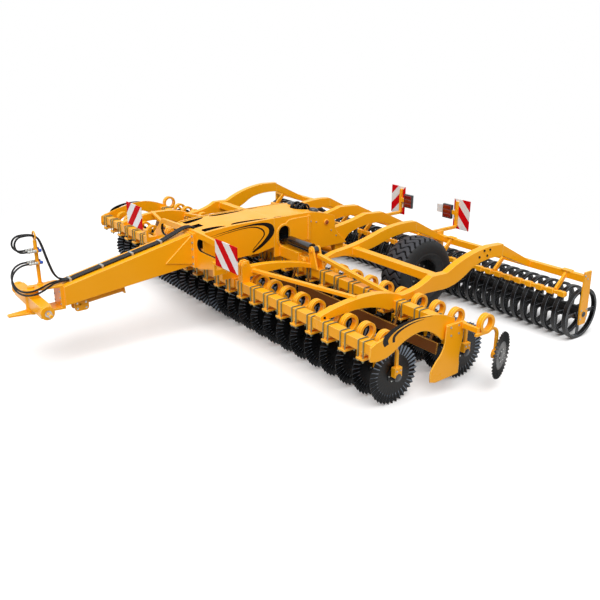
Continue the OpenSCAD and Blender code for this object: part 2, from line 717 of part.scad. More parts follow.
module edge_disc_left() {
    color(steel) place() translate([edge_x - bar / 2, row_gap + edge_back, edge_hub_z])
        rotate([0, 0, edge_turn]) rotate([0, 90, 0]) {
            translate([0, 0, edge_off]) fluted_plate(edge_r, tooth_depth / 2, flute_r - disc_r + edge_r);
            translate([0, 0, hub_l / 2 + 5]) cylinder(r = flange_r, h = edge_off - hub_l / 2);
            translate([0, 0, -hub_l / 2 - 6]) cylinder(r = stub_r, h = edge_off + hub_l / 2);
        }
}
module edge_disc_right() { mirror([1, 0, 0]) edge_disc_left(); }

// Disc rows
module front_discs_left() { color(steel) place() for (x = wing_places()) disc(x, rows[0]); }
module front_discs_right() { mirror([1, 0, 0]) front_discs_left(); }
module front_discs_centre() { color(steel) place() both() for (x = centre_places()) disc(x, rows[0]); }
module rear_discs_left() { color(steel) place() for (x = wing_places()) disc(x, rows[1]); }
module rear_discs_right() { mirror([1, 0, 0]) rear_discs_left(); }
module rear_discs_centre() { color(steel) place() both() for (x = centre_places()) disc(x, rows[1]); }

// Roller frames: top beam, end plates, scraper bar with its blades, arms to the members
roller_gap = 6;
scraper_h = 40;
scraper_reach = roller_r + 9.6;
scraper_turn = 48.54;
scraper_y = roller_y - scraper_reach * cos(scraper_turn) - scraper_h;
scraper_z = roller_r + scraper_reach * sin(scraper_turn) + scraper_h / 2;
plate_low = 125;
blade_w = 44;
blade_l = 30;
scraper_in = 110;
arm_in = 250;
function ring_places(x0, x1) = let (n = round((x1 - x0 - ring_w) / ring_pitch))
    [for (i = [0 : n]) x0 + ring_w / 2 + i * (x1 - x0 - ring_w) / n];
module roller_plate(x) {
    plate_top = roller_beam_z + roller_beam_h + 42;
    yz(x, plate_t) difference() {
        polygon([[roller_beam_y - 30, plate_top], [roller_beam_y + 90, plate_top],
                 [roller_y + 72, roller_r + 60], [roller_y + 84, roller_r - 20],
                 [roller_y + 56, roller_r - plate_low],
                 [roller_y - 56, roller_r - plate_low], [roller_y - 76, roller_r + 60]]);
        translate([roller_y, roller_r]) circle(shaft_r + eps);
    }
}
// Bracket that carries the scraper bar, with its cap on the beam
module scraper_arm(x) {
    top = roller_beam_z + roller_beam_h;
    yz(x - 12, 24) polygon([[roller_beam_y - 28, top - 10], [roller_beam_y - 28, roller_beam_z],
                            [scraper_y + scraper_h + 10, scraper_z + 8],
                            [scraper_y + scraper_h - 2, scraper_z - 8], [scraper_y + 8, scraper_z - 8],
                            [scraper_y + 8, scraper_z + 50]]);
    block([x - 60, roller_beam_y - 38, top - 2], [x + 60, roller_beam_rear + 8, top + 12]);
}
module roller_frame(x0, x1) {
    root = scraper_y + scraper_h - 2;
    block([x0 + plate_t - 2, roller_beam_y - 30, roller_beam_z],
          [x1 - plate_t + 2, roller_beam_rear, roller_beam_z + roller_beam_h]);
    roller_plate(x0);
    roller_plate(x1 - plate_t);
    block([x0 + scraper_in, scraper_y, scraper_z - scraper_h / 2],
          [x1 - scraper_in, scraper_y + scraper_h, scraper_z + scraper_h / 2]);
    for (x = [x0 + arm_in, (x0 + x1) / 2, x1 - arm_in]) scraper_arm(x);
    for (x = ring_places(x0 + plate_t + roller_gap, x1 - plate_t - roller_gap))
        if (x > x0 + scraper_in + blade_w && x < x1 - scraper_in - blade_w) yz(x - blade_w / 2, blade_w)
            polygon([[root, scraper_z + 16], [root, scraper_z + 4],
                     [root + blade_l, scraper_z - 4], [root + blade_l, scraper_z + 6]]);
}
module roller_arm(x) {
    yz(x - member_w / 2, member_w)
        polygon([[member_rear, 930], [member_rear, 1055], [roller_beam_y - 30, roller_beam_z + roller_beam_h],
                 [roller_beam_y - 30, roller_beam_z]]);
}
module roller_frame_left() {
    color(paint) place() {
        roller_frame(wing_in, half_w + 20);
        roller_arm(inner_x);
        roller_arm(mid_x);
    }
}
module roller_frame_right() { mirror([1, 0, 0]) roller_frame_left(); }
module centre_roller_frame() { color(paint) place() roller_frame(-centre_end, centre_end); }

// Ring rollers
module roller(x0, x1) {
    a = x0 + plate_t + roller_gap;
    b = x1 - plate_t - roller_gap;
    rod_x(x0 - 8, roller_y, roller_r, shaft_r, x1 - x0 + 16);
    rod_x(a, roller_y, roller_r, core_r, b - a);
    for (x = ring_places(a, b)) {
        difference() {
            rod_x(x - ring_w / 2, roller_y, roller_r, roller_r, ring_w);
            rod_x(x - ring_w / 2 - 1, roller_y, roller_r, roller_r - ring_t, ring_w + 2);
        }
        for (k = [0 : spokes - 1]) translate([x - 6, roller_y, roller_r]) rotate([k * 360 / spokes, 0, 0])
            translate([0, -22, core_r - 8]) cube([12, 44, roller_r - ring_t - core_r + 12]);
    }
}
module roller_left() { color(steel) place() roller(wing_in, half_w + 20); }
module roller_right() { mirror([1, 0, 0]) roller_left(); }
module roller_centre() { color(steel) place() roller(-centre_end, centre_end); }

// Folding cylinders: barrel on the wing's eye, rod to the tower
neck_r = 28;
neck_l = 72;
module barrel_left() {
    color(steel) place() difference() {
        union() {
            rod_y(eye_x, cyl_y - 30, eye_z, 40, 60);
            rod_x(eye_x - barrel_l, cyl_y, eye_z, barrel_r, barrel_l - 48);
            rod_x(eye_x - 49, cyl_y, eye_z, 34, 30);
        }
        rod_y(eye_x, cyl_y - 40, eye_z, pin_r + eps, 80);
        rod_x(eye_x - barrel_l - 1, cyl_y, eye_z, rod_r + eps, barrel_l - 70);
    }
}
module barrel_right() { mirror([1, 0, 0]) barrel_left(); }
module rod_left() {
    color("silver") place() {
        rod_x(anchor_x + 20, cyl_y, eye_z, neck_r, neck_l);
        rod_x(anchor_x + neck_l, cyl_y, eye_z, rod_r, eye_x - barrel_l + 60 - anchor_x - neck_l);
        difference() {
            rod_y(anchor_x, cyl_y - 30, eye_z, 38, 60);
            rod_y(anchor_x, cyl_y - 31, eye_z, pin_r + eps, 62);
        }
    }
}
module rod_right() { mirror([1, 0, 0]) rod_left(); }

// Warning boards, lamps and the blank number plate
module front_signs() {
    z = 1164;
    color("white") place() both() {
        block([sign_front_x - sign_long / 2, sign_front_y - sign_t, z - sign_short / 2],
              [sign_front_x + sign_long / 2, sign_front_y, z + sign_short / 2]);
        block([sign_front_x - 20, sign_front_y, z - 130], [sign_front_x + 20, sign_front_y + 14, z + 60]);
        block([front_x - 40, sign_front_y, 1004], [sign_front_x + 20, sign_front_y + 30, z - 130]);
        block([front_x - 40, sign_front_y, 880], [front_x - 10, sign_front_y + 30, 1004]);
        block([front_x - 40, sign_front_y + 30, 880], [front_x - 10, flange_y, 940]);
    }
}
sign_post_x = 560;
lamp_x = 310;
lamp_w = 170;
lamp_h = 200;
lamp_d = 42;
lamp_z = 930;
plate_side = 112;
module rear_signs() {
    z = 915;
    arm_z = roller_beam_z + 22;
    color("white") place() both() {
        block([sign_rear_x - sign_short / 2, sign_rear_y, z - sign_long / 2],
              [sign_rear_x + sign_short / 2, rear_end, z + sign_long / 2]);
        block([sign_post_x - 20, sign_rear_y - 30, z - 180], [sign_post_x + 20, sign_rear_y, z + 180]);
        block([sign_post_x - 20, roller_beam_rear, arm_z], [sign_post_x + 20, sign_rear_y - 30, arm_z + 40]);
        block([lamp_x + lamp_w, sign_rear_y - 28, lamp_z - 30],
              [sign_post_x - 18, sign_rear_y - 8, lamp_z + 30]);
    }
    color("white") place() block([lamp_x - plate_side, sign_rear_y - 24, lamp_z - plate_side / 2 + 20],
                                 [lamp_x, sign_rear_y - 16, lamp_z + plate_side / 2 + 20]);
}
module rear_lamps() {
    color("darkred") place() both() block([lamp_x, sign_rear_y - lamp_d, lamp_z - lamp_h / 2],
                                          [lamp_x + lamp_w, rear_end, lamp_z + lamp_h / 2]);
}

// Hoses: held in clips along the drawbar and under the deck, free from the first clip to the couplers
function draw_top(y) = fork_high + (y - draw_y) * (1165 - fork_high) / (flange_y - 30 - draw_y);
clip_y = [-1850, -1490, -1140, -790];
clip_w = 24;
clip_h = 30;
hose_lift = hose_r + 5;
hose_out_z = draw_top(clip_y[0]) + hose_lift + 2;
couple_y = stand_y + 110 - 8 - coupler_l;
function hose_x(i) = (1.5 - i) * hose_pitch;
route_near = [[36, -1862, 881], [36, -1905, 881], [44, -1965, 882], [68, -2030, 882], [104, -2092, 873],
              [136, -2156, 854], [154, -2226, 838], [152, -2298, 832], [124, -2362, 842], [76, -2406, 872],
              [26, -2424, 920], [-10, -2418, 974], [-28, -2394, 1026], [-32, -2352, 1068],
              [-32, -2304, 1092], [-32, -2262, 1100], [-32, -2228, 1100]];
route_low = [[12, -1862, 881], [12, -1905, 881], [16, -1965, 884], [32, -2030, 886], [62, -2092, 884],
             [94, -2156, 876], [114, -2226, 864], [112, -2298, 856], [86, -2356, 864], [40, -2394, 890],
             [-10, -2410, 932], [-56, -2408, 982], [-92, -2386, 1030], [-110, -2350, 1068],
             [-112, -2304, 1092], [-112, -2262, 1100], [-112, -2228, 1100]];
route_loop = [[-12, -1862, 881], [-12, -1900, 881], [-15, -1942, 897], [-21, -1974, 930], [-28, -1996, 974],
              [-36, -2014, 1036], [-43, -2030, 1100], [-49, -2044, 1164], [-54, -2058, 1228],
              [-58, -2074, 1288], [-60, -2094, 1340], [-60, -2130, 1374], [-57, -2190, 1391],
              [-51, -2260, 1391], [-45, -2292, 1385], [-40, -2318, 1367], [-36, -2336, 1340],
              [-33, -2342, 1309], [-32, -2336, 1278], [-32, -2318, 1251], [-32, -2292, 1233],
              [-32, -2260, 1227], [-32, -2228, 1227]];
route_far = [[-36, -1862, 881], [-36, -1900, 881], [-40, -1942, 896], [-48, -1974, 928], [-57, -1996, 972],
             [-65, -2014, 1032], [-72, -2030, 1096], [-77, -2044, 1160], [-81, -2058, 1224],
             [-84, -2074, 1286], [-85, -2094, 1340], [-86, -2130, 1374], [-89, -2190, 1393],
             [-95, -2262, 1395], [-100, -2296, 1388], [-105, -2324, 1369], [-109, -2342, 1341],
             [-111, -2348, 1309], [-112, -2341, 1277], [-112, -2322, 1250], [-112, -2294, 1232],
             [-112, -2260, 1227], [-112, -2228, 1227]];
function unit(v) = v / norm(v);

// A round tube swept along the points of a route
module tube(route, r, sides = 8) {
    n = len(route);
    rings = [for (i = [0 : n - 1])
        let (t = unit(route[min(i + 1, n - 1)] - route[max(i - 1, 0)]),
             u = unit(cross(t, [1, 0, 0])), v = cross(t, u))
        for (k = [0 : sides - 1]) route[i] + r * (cos(360 * k / sides) * u + sin(360 * k / sides) * v)];
    walls = [for (i = [0 : n - 2], k = [0 : sides - 1])
        let (a = i * sides + k, b = i * sides + (k + 1) % sides)
        each [[a, a + sides, b + sides], [a, b + sides, b]]];
    ends = [[for (k = [0 : sides - 1]) k], [for (k = [0 : sides - 1]) n * sides - 1 - k]];
    polyhedron(rings, concat(walls, ends));
}
module hose_bundle() {
    start = clip_y[0] + clip_w / 2;
    color(steel) place() for (i = [0 : 3])
        tube([for (p = [[start, hose_out_z], [start + 20, hose_out_z], [-1790, draw_top(-1790) + hose_lift + 1],
                        [-760, draw_top(-760) + hose_lift + 1], [-500, deck_front_z + 16],
                        [-440, deck_front_z + 26], [side_y0 + 5, deck_front_z + 24],
                        [-300, 1180], [-240, 1150], [-180, 1140],
                        [bulkhead_y - 20, 1140], [bulkhead_y, 1140]]) [hose_x(i), p[0], p[1]]], hose_r);
}
module hose_clips() {
    half = 1.5 * hose_pitch + hose_r + 8;
    color(steel) place() {
        first = clip_y[0] - clip_w / 2;
        last = clip_y[0] + clip_w / 2;
        yz(-half, 2 * half) polygon([[first, draw_top(first)], [last, draw_top(last)],
                                     [last, hose_out_z + hose_r + 6], [first, hose_out_z + hose_r + 6]]);
        for (y = [for (i = [1 : 3]) clip_y[i]]) difference() {
            yz(-half, 2 * half)
                polygon([[y - 12, draw_top(y - 12)], [y + 12, draw_top(y + 12)],
                         [y + 12, draw_top(y + 12) + clip_h], [y - 12, draw_top(y - 12) + clip_h]]);
            for (i = [0 : 3]) translate([hose_x(i), y, draw_top(y) + hose_lift + 1])
                rotate([90 + atan((1165 - fork_high) / (flange_y - 30 - draw_y)), 0, 0])
                    cylinder(r = hose_r + eps, h = 60, center = true);
        }
    }
}
module hose_couplers() {
    color("silver") place() for (x = coupler_x, z = coupler_z) rod_y(x, couple_y, z, coupler_r, coupler_l);
}
module hose_near() { color(steel) place() tube(route_near, hose_r); }
module hose_low() { color(steel) place() tube(route_low, hose_r); }
module hose_loop() { color(steel) place() tube(route_loop, hose_r); }
module hose_far() { color(steel) place() tube(route_far, hose_r); }

// Handed pieces of the wheels
module tyre_left() { tyre(wheel_x); }
module tyre_right() { tyre(-wheel_x); }
module rim_left() { rim(wheel_x, 1); }
module rim_right() { rim(-wheel_x, -1); }

drawbar();
hitch_bar();
hose_stand();
parking_leg();
front_frame();
tower();
tail_frame();
centre_toolbars();
centre_arms();
centre_board();
centre_roller_frame();
front_signs();
rear_signs();
rear_lamps();
axle();
tyre_left();
tyre_right();
rim_left();
rim_right();
toolbars_left();
toolbars_right();
arms_left();
arms_right();
frame_left();
frame_right();
end_plates_left();
end_plates_right();
edge_arm_left();
edge_arm_right();
board_left();
board_right();
roller_frame_left();
roller_frame_right();
front_discs_centre();
front_discs_left();
front_discs_right();
rear_discs_centre();
rear_discs_left();
rear_discs_right();
edge_disc_left();
edge_disc_right();
roller_centre();
roller_left();
roller_right();
barrel_left();
barrel_right();
rod_left();
rod_right();
hose_bundle();
hose_clips();
hose_couplers();
hose_near();
hose_low();
hose_loop();
hose_far();
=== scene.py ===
"""Looks of a trailed disc harrow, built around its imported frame.

Sizes are in millimetres, counted along Y from the front row of coils, as a maker's drawing gives them.
"""
import json
import logging
import math
from dataclasses import dataclass, field
from enum import Enum
from functools import lru_cache
from typing import Callable, Sequence

import bmesh
import bpy
from mathutils import Matrix, Vector
from mathutils.bvhtree import BVHTree


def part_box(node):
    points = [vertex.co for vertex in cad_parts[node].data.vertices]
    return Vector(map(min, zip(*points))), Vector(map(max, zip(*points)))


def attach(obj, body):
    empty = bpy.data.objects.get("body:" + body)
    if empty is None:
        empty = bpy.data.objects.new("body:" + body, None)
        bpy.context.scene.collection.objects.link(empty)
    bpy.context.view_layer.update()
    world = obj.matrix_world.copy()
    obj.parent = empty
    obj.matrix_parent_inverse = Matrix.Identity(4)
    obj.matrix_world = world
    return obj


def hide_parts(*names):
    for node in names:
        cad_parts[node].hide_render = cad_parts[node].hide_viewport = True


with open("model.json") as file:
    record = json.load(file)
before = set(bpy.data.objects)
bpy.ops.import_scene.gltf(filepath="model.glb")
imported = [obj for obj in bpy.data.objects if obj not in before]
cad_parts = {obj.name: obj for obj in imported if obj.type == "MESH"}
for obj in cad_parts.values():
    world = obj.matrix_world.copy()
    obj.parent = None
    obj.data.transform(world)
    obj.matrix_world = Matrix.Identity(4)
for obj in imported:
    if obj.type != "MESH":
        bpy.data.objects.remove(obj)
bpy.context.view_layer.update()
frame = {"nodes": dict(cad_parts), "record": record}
MM = 0.001
# Drawing X from which lines are cast at the machine's sides.
OUTSIDE = 3300.0
X, Y, Z = Vector((1, 0, 0)), Vector((0, 1, 0)), Vector((0, 0, 1))
log = logging.getLogger("harrow")

Outline = Sequence[tuple[float, float]]


class Side(Enum):
    """Side of the machine, with the sign of its X."""

    LEFT = 1
    RIGHT = -1

    @property
    def word(self) -> str:
        """Name of the side as the frame's nodes use it."""
        return self.name.lower()


def hex_linear(code: str, alpha: float = 1.0) -> tuple[float, float, float, float]:
    """Turns an sRGB hex colour into a linear one.

    Args:
        code: Colour as six hex digits after a hash.
        alpha: Opacity to add.

    Returns:
        Red, green, blue and alpha, linear.
    """
    parts = [int(code[i:i + 2], 16) / 255 for i in (1, 3, 5)]
    flat = [c / 12.92 if c <= 0.04045 else ((c + 0.055) / 1.055) ** 2.4 for c in parts]
    return (*flat, alpha)


def per_mm(size: float) -> float:
    """Texture scale at which one feature is that many millimetres wide."""
    return 1 / (size * MM)


def add_node(tree: bpy.types.NodeTree, kind: str, inputs: dict | None = None,
             **settings: object) -> bpy.types.Node:
    """Adds a node with its settings, values and links.

    Args:
        tree: Node tree to add to.
        kind: Blender's name of the node.
        inputs: Input names with a value, or with an output socket to link.
        settings: Properties of the node.

    Returns:
        The new node.
    """
    made = tree.nodes.new(kind)
    for name, value in settings.items():
        setattr(made, name, value)
    for name, value in (inputs or {}).items():
        if isinstance(value, bpy.types.NodeSocket):
            tree.links.new(value, made.inputs[name])
        else:
            made.inputs[name].default_value = value
    return made


@dataclass(frozen=True)
class Finish:
    """A surface as its maker would name it, with two tones, a grain, a gloss and a painted highlight along
    the edges.
    """

    name: str
    colour: str
    tone: str
    roughness: float
    slot: str
    metallic: float = 0.0
    tone_mm: float = 300.0
    grain_mm: float = 6.0
    grain_depth_mm: float = 0.1
    gloss_spread: float = 0.08
    coat: float = 0.0
    specular: float = 0.5
    # Colour of a painted highlight along the edges, and below it the highlight's width.
    edge: str = ""
    edge_mm: float = 4.0
    dust: str = ""
    dust_mm: float = 35.0

    def material(self) -> bpy.types.Material:
        """Gives the finish's material, made once.

        Returns:
            The material.
        """
        found = bpy.data.materials.get(self.name)
        if found is not None:
            return found
        made = bpy.data.materials.new(self.name)
        made.use_nodes = True
        made.node_tree.nodes.clear()
        self.build(made.node_tree)
        return made

    def build(self, tree: bpy.types.NodeTree) -> None:
        """Adds the nodes: two tones in soft clouds, a fine grain in the bump and an uneven gloss.

        Args:
            tree: Empty node tree of the material.
        """
        where = add_node(tree, "ShaderNodeTexCoord").outputs["Object"]
        cloud = add_node(tree, "ShaderNodeTexNoise", {
            "Vector": where, "Scale": per_mm(self.tone_mm), "Detail": 4.0})
        tones = add_node(tree, "ShaderNodeMix", {
            "Factor": cloud.outputs["Fac"], 6: hex_linear(self.colour), 7: hex_linear(self.tone)},
            data_type="RGBA")
        colour = self.dusted(tree, where, tones.outputs[2])
        grain = add_node(tree, "ShaderNodeTexNoise", {
            "Vector": where, "Scale": per_mm(self.grain_mm), "Detail": 2.0})
        gloss = add_node(tree, "ShaderNodeMapRange", {
            "Value": cloud.outputs["Fac"], "From Min": 0.3, "From Max": 0.7,
            "To Min": self.roughness - self.gloss_spread, "To Max": self.roughness + self.gloss_spread})
        bump = add_node(tree, "ShaderNodeBump", {
            "Height": grain.outputs["Fac"], "Distance": self.grain_depth_mm * MM, "Strength": 1.0})
        if self.edge:
            colour = self.worn(tree, colour, bump)
        shader = add_node(tree, "ShaderNodeBsdfPrincipled", {
            "Base Color": colour, "Roughness": gloss.outputs["Result"], "Normal": bump.outputs["Normal"],
            "Metallic": self.metallic, "Specular IOR Level": self.specular,
            "Coat Weight": self.coat, "Coat Roughness": 0.12})
        add_node(tree, "ShaderNodeOutputMaterial", {"Surface": shader.outputs["BSDF"]})

    def dusted(self, tree: bpy.types.NodeTree, where: bpy.types.NodeSocket,
               colour: bpy.types.NodeSocket) -> bpy.types.NodeSocket:
        """Adds specks of dust, where the finish has any.

        Args:
            tree: Node tree of the material.
            where: Coordinates in metres.
            colour: Colour so far.

        Returns:
            Colour with the dust.
        """
        if not self.dust:
            return colour
        specks = add_node(tree, "ShaderNodeTexNoise", {
            "Vector": where, "Scale": per_mm(self.dust_mm), "Detail": 6.0, "Roughness": 0.7})
        thin = add_node(tree, "ShaderNodeMapRange", {
            "Value": specks.outputs["Fac"], "From Min": 0.5, "From Max": 0.78, "To Max": 0.45})
        mixed = add_node(tree, "ShaderNodeMix", {
            "Factor": thin.outputs["Result"], 6: colour, 7: hex_linear(self.dust)}, data_type="RGBA")
        return mixed.outputs[2]

    def worn(self, tree: bpy.types.NodeTree, colour: bpy.types.NodeSocket,
             bump: bpy.types.Node) -> bpy.types.NodeSocket:
        """Rounds the edges in the shading and paints a pale highlight along them.

        Args:
            tree: Node tree of the material.
            colour: Colour so far.
            bump: Bump node, which takes the rounded normal.

        Returns:
            Colour with the painted highlight along the edges.
        """
        round_edge = add_node(tree, "ShaderNodeBevel", {"Radius": self.edge_mm * MM}, samples=4)
        tree.links.new(round_edge.outputs["Normal"], bump.inputs["Normal"])
        plain = add_node(tree, "ShaderNodeNewGeometry")
        turn = add_node(tree, "ShaderNodeVectorMath", {
            0: round_edge.outputs["Normal"], 1: plain.outputs["Normal"]}, operation="DOT_PRODUCT")
        # Mask of the painted edge highlight, strongest where the rounded normal turns away most.
        worn = add_node(tree, "ShaderNodeMapRange", {
            "Value": turn.outputs["Value"], "From Min": 0.995, "From Max": 0.86, "To Min": 0.0,
            "To Max": 1.0})
        lit = add_node(tree, "ShaderNodeMix", {
            "Factor": worn.outputs["Result"], 6: colour, 7: hex_linear(self.edge)}, data_type="RGBA")
        return lit.outputs[2]


# Gloss enamel over welded steel: an even golden yellow with orange peel, and a pale painted highlight along
# the edges.
# The peel is 2 mm on the machine and is drawn at 9 mm so that it shows.
ENAMEL = Finish("yellow_gloss_enamel", "#FFAE0E", "#FAA60A", 0.34, "yellow_paint", tone_mm=420, grain_mm=9,
                grain_depth_mm=0.12, coat=0.04, specular=0.22, edge="#FFE07A", edge_mm=7)
# Painted shade inside the tower's box: brown black on the faces that look in, where the inside lies in shade.
BOX_SHADE_PAINT = Finish("box_inside_painted_shade", "#120C07", "#0A0705", 0.6, "yellow_paint", tone_mm=140, grain_mm=12,
                    grain_depth_mm=0.3, specular=0.2)
# The same enamel on the levelling boards, darkened to brown as painted shade, with a pale painted highlight
# along the edges.
SHADED_BOARD_ENAMEL = Finish("board_enamel_painted_shade", "#6E3C10", "#54300E", 0.55, "yellow_paint", tone_mm=260,
                        grain_mm=7, grain_depth_mm=0.2, specular=0.3, edge="#FFC64C", edge_mm=6)
# Black stoved paint on rolled disc steel: near black, with a faint painted highlight along the pleats' edges.
DISC_PAINT = Finish("black_disc_paint", "#060607", "#0B0C0D", 0.32, "disc_steel", tone_mm=90, grain_mm=5,
                    grain_depth_mm=0.1, specular=0.22, edge="#1E2124", edge_mm=3)
# One flank of each pleat, painted blue grey as a highlight for the light these flanks catch, and bright where
# lit.
DISC_FLANK_HIGHLIGHT = Finish("pleat_flank_painted_highlight", "#77828F", "#5A636E", 0.36, "disc_steel", metallic=0.35,
                    tone_mm=70, grain_mm=4, grain_depth_mm=0.1)
# Dipped black paint on cast rings: near black, with a grey painted highlight along the rims.
ROLLER_PAINT = Finish("black_ring_paint", "#060607", "#0D0E0F", 0.34, "roller_iron", tone_mm=120, grain_mm=8,
                      grain_depth_mm=0.2, specular=0.3, edge="#8C939C", edge_mm=6)
# Moulded tyre rubber: dark grey and dull, with a fine grain and a little dust.
RUBBER = Finish("moulded_tyre_rubber", "#121314", "#1A1B1C", 0.62, "tyre_rubber", tone_mm=60, grain_mm=4,
                grain_depth_mm=0.2, specular=0.35, dust="#2A2A2C")
# The same rubber on the lugs, paler as a painted highlight and with a little dust, and deep in the grooves,
# near black as painted shade.
LUG_HIGHLIGHT_RUBBER = Finish("lug_rubber_painted_highlight", "#3C3D42", "#303136", 0.7, "tyre_rubber", tone_mm=50, grain_mm=4,
                    grain_depth_mm=0.2, specular=0.35, dust="#4C4B4A")
GROOVE_SHADE_RUBBER = Finish("groove_rubber_painted_shade", "#050506", "#080809", 0.8, "tyre_rubber", tone_mm=60,
                       grain_mm=4, grain_depth_mm=0.2, specular=0.15)
# Black paint on the pressed wheel discs: dark and half dull, with a faint painted highlight along the edges.
RIM_PAINT = Finish("black_rim_paint", "#0C0D0E", "#141517", 0.42, "yellow_paint", tone_mm=90, grain_mm=6,
                   grain_depth_mm=0.1, specular=0.35, edge="#33373C", edge_mm=4)
# Gloss black paint on a drawn cylinder tube.
CYLINDER_PAINT = Finish("black_cylinder_gloss", "#0C0D10", "#15161A", 0.22, "cylinder_paint", tone_mm=80,
                        grain_mm=6, grain_depth_mm=0.06, coat=0.6)
# Black oxide on a ground rod, wet with oil: dark, with sharp highlights.
OXIDE = Finish("oiled_black_oxide", "#1A1B1F", "#24262B", 0.2, "rod_dark", metallic=0.8, tone_mm=40,
               grain_mm=2, grain_depth_mm=0.02, gloss_spread=0.05)
# Braided hose under a smooth rubber cover: black with a soft sheen.
HOSE_RUBBER = Finish("smooth_hose_rubber", "#070708", "#0D0D0F", 0.36, "hose_rubber", tone_mm=60, grain_mm=3,
                     grain_depth_mm=0.1, specular=0.3)
# Bright zinc plate on turned fittings and forged heads: pale grey.
ZINC = Finish("bright_zinc_plate", "#C2C4C2", "#9FA19C", 0.34, "fitting_zinc", metallic=0.9, tone_mm=18,
              grain_mm=3, grain_depth_mm=0.08)
# Zinc with an olive passivation on the rods of the U-bolts: dull grey green.
OLIVE_ZINC = Finish("olive_passivated_zinc", "#8B8A66", "#6A6A4E", 0.46, "fitting_zinc", metallic=0.55,
                    tone_mm=30, grain_mm=3, grain_depth_mm=0.1)
# Retro-reflective sheet: clean white or red with a cell pattern of a few millimetres.
SHEET_WHITE = Finish("white_reflective_sheet", "#EDEFF0", "#E2E5E8", 0.3, "board_sheet", tone_mm=120,
                     grain_mm=4, grain_depth_mm=0.05, coat=0.4)
SHEET_RED = Finish("red_reflective_sheet", "#DA0A16", "#CC0812", 0.6, "board_sheet", tone_mm=120, grain_mm=4,
                   grain_depth_mm=0.05, specular=0.05)
# Moulded red acrylic: deep red and glossy.
LENS = Finish("red_acrylic_lens", "#8E0A11", "#70060B", 0.12, "lamp_lens", tone_mm=40, grain_mm=7,
              grain_depth_mm=0.3, gloss_spread=0.03, coat=0.8)
# Black polypropylene of the lamps' housings and the deck's caps: dark grey, moulded with a fine grain.
MOULDED_BLACK = Finish("moulded_black_polypropylene", "#1C1F22", "#2A2E33", 0.4, "cylinder_paint", tone_mm=50,
                       grain_mm=3, grain_depth_mm=0.1, coat=0.3)
# Blue dust caps of the hydraulic couplers: moulded soft plastic.
BLUE_CAP = Finish("moulded_blue_cap", "#1F49A8", "#2856BC", 0.38, "hose_rubber", tone_mm=25, grain_mm=3,
                  grain_depth_mm=0.08)
# Cut vinyl film: flat black with a soft gloss.
VINYL = Finish("black_vinyl_film", "#050506", "#08080A", 0.45, "cylinder_paint", tone_mm=150, grain_mm=8,
               grain_depth_mm=0.03, specular=0.2)
# Pin end: reddish brown, darker than the yellow round it.
PIN_END_BROWN = Finish("reddish_brown_pin_end", "#A8501A", "#96461A", 0.5, "yellow_paint", tone_mm=30, grain_mm=3,
                grain_depth_mm=0.1)

SLOT_FINISHES: dict[str, Finish] = {
    "yellow_paint": ENAMEL, "disc_steel": DISC_PAINT, "roller_iron": ROLLER_PAINT, "tyre_rubber": RUBBER,
    "cylinder_paint": CYLINDER_PAINT, "rod_dark": OXIDE, "hose_rubber": HOSE_RUBBER, "fitting_zinc": ZINC,
    "board_sheet": ENAMEL, "lamp_lens": LENS,
}
# The levelling boards take the enamel darkened to brown by painted shade.
NODE_FINISHES: dict[str, Finish] = {
    "hose_clips": ZINC, "board_left": SHADED_BOARD_ENAMEL, "board_right": SHADED_BOARD_ENAMEL,
    "centre_board": SHADED_BOARD_ENAMEL, "rim_left": RIM_PAINT, "rim_right": RIM_PAINT,
}


@dataclass(frozen=True)
class Datum:
    """Turns drawing sizes into the frame's metres.

    The frame's own disc box tells where the front row of coils lies along Y.
    """

    disc_back: float = 150.0

    def row(self) -> float:
        """Place of the front row of coils along the frame's Y, in metres."""
        low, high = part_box("front_discs_left")
        return (low.y + high.y) / 2 - self.disc_back * MM

    def at(self, x: float, y: float, z: float) -> Vector:
        """Gives a drawing point in the frame's metres."""
        return Vector((x * MM, y * MM + ROW, z * MM))


DATUM = Datum()
ROW = DATUM.row()
at = DATUM.at


@lru_cache(maxsize=None)
def solid_tree(node: str) -> BVHTree:
    """Gives the search tree of a node's faces."""
    mesh = frame["nodes"][node].data
    return BVHTree.FromPolygons([v.co for v in mesh.vertices], [p.vertices for p in mesh.polygons])


def seat(node: str, start: Vector, way: Vector) -> Vector:
    """Finds where a line meets a node's solid.

    Args:
        node: Name of the node.
        start: Start of the line.
        way: Direction of the line.

    Returns:
        The first point on the solid.
    """
    spot = solid_tree(node).ray_cast(start, way)[0]
    if spot is None:
        raise ValueError(f"{node} isn't met from {tuple(start)}")
    return spot


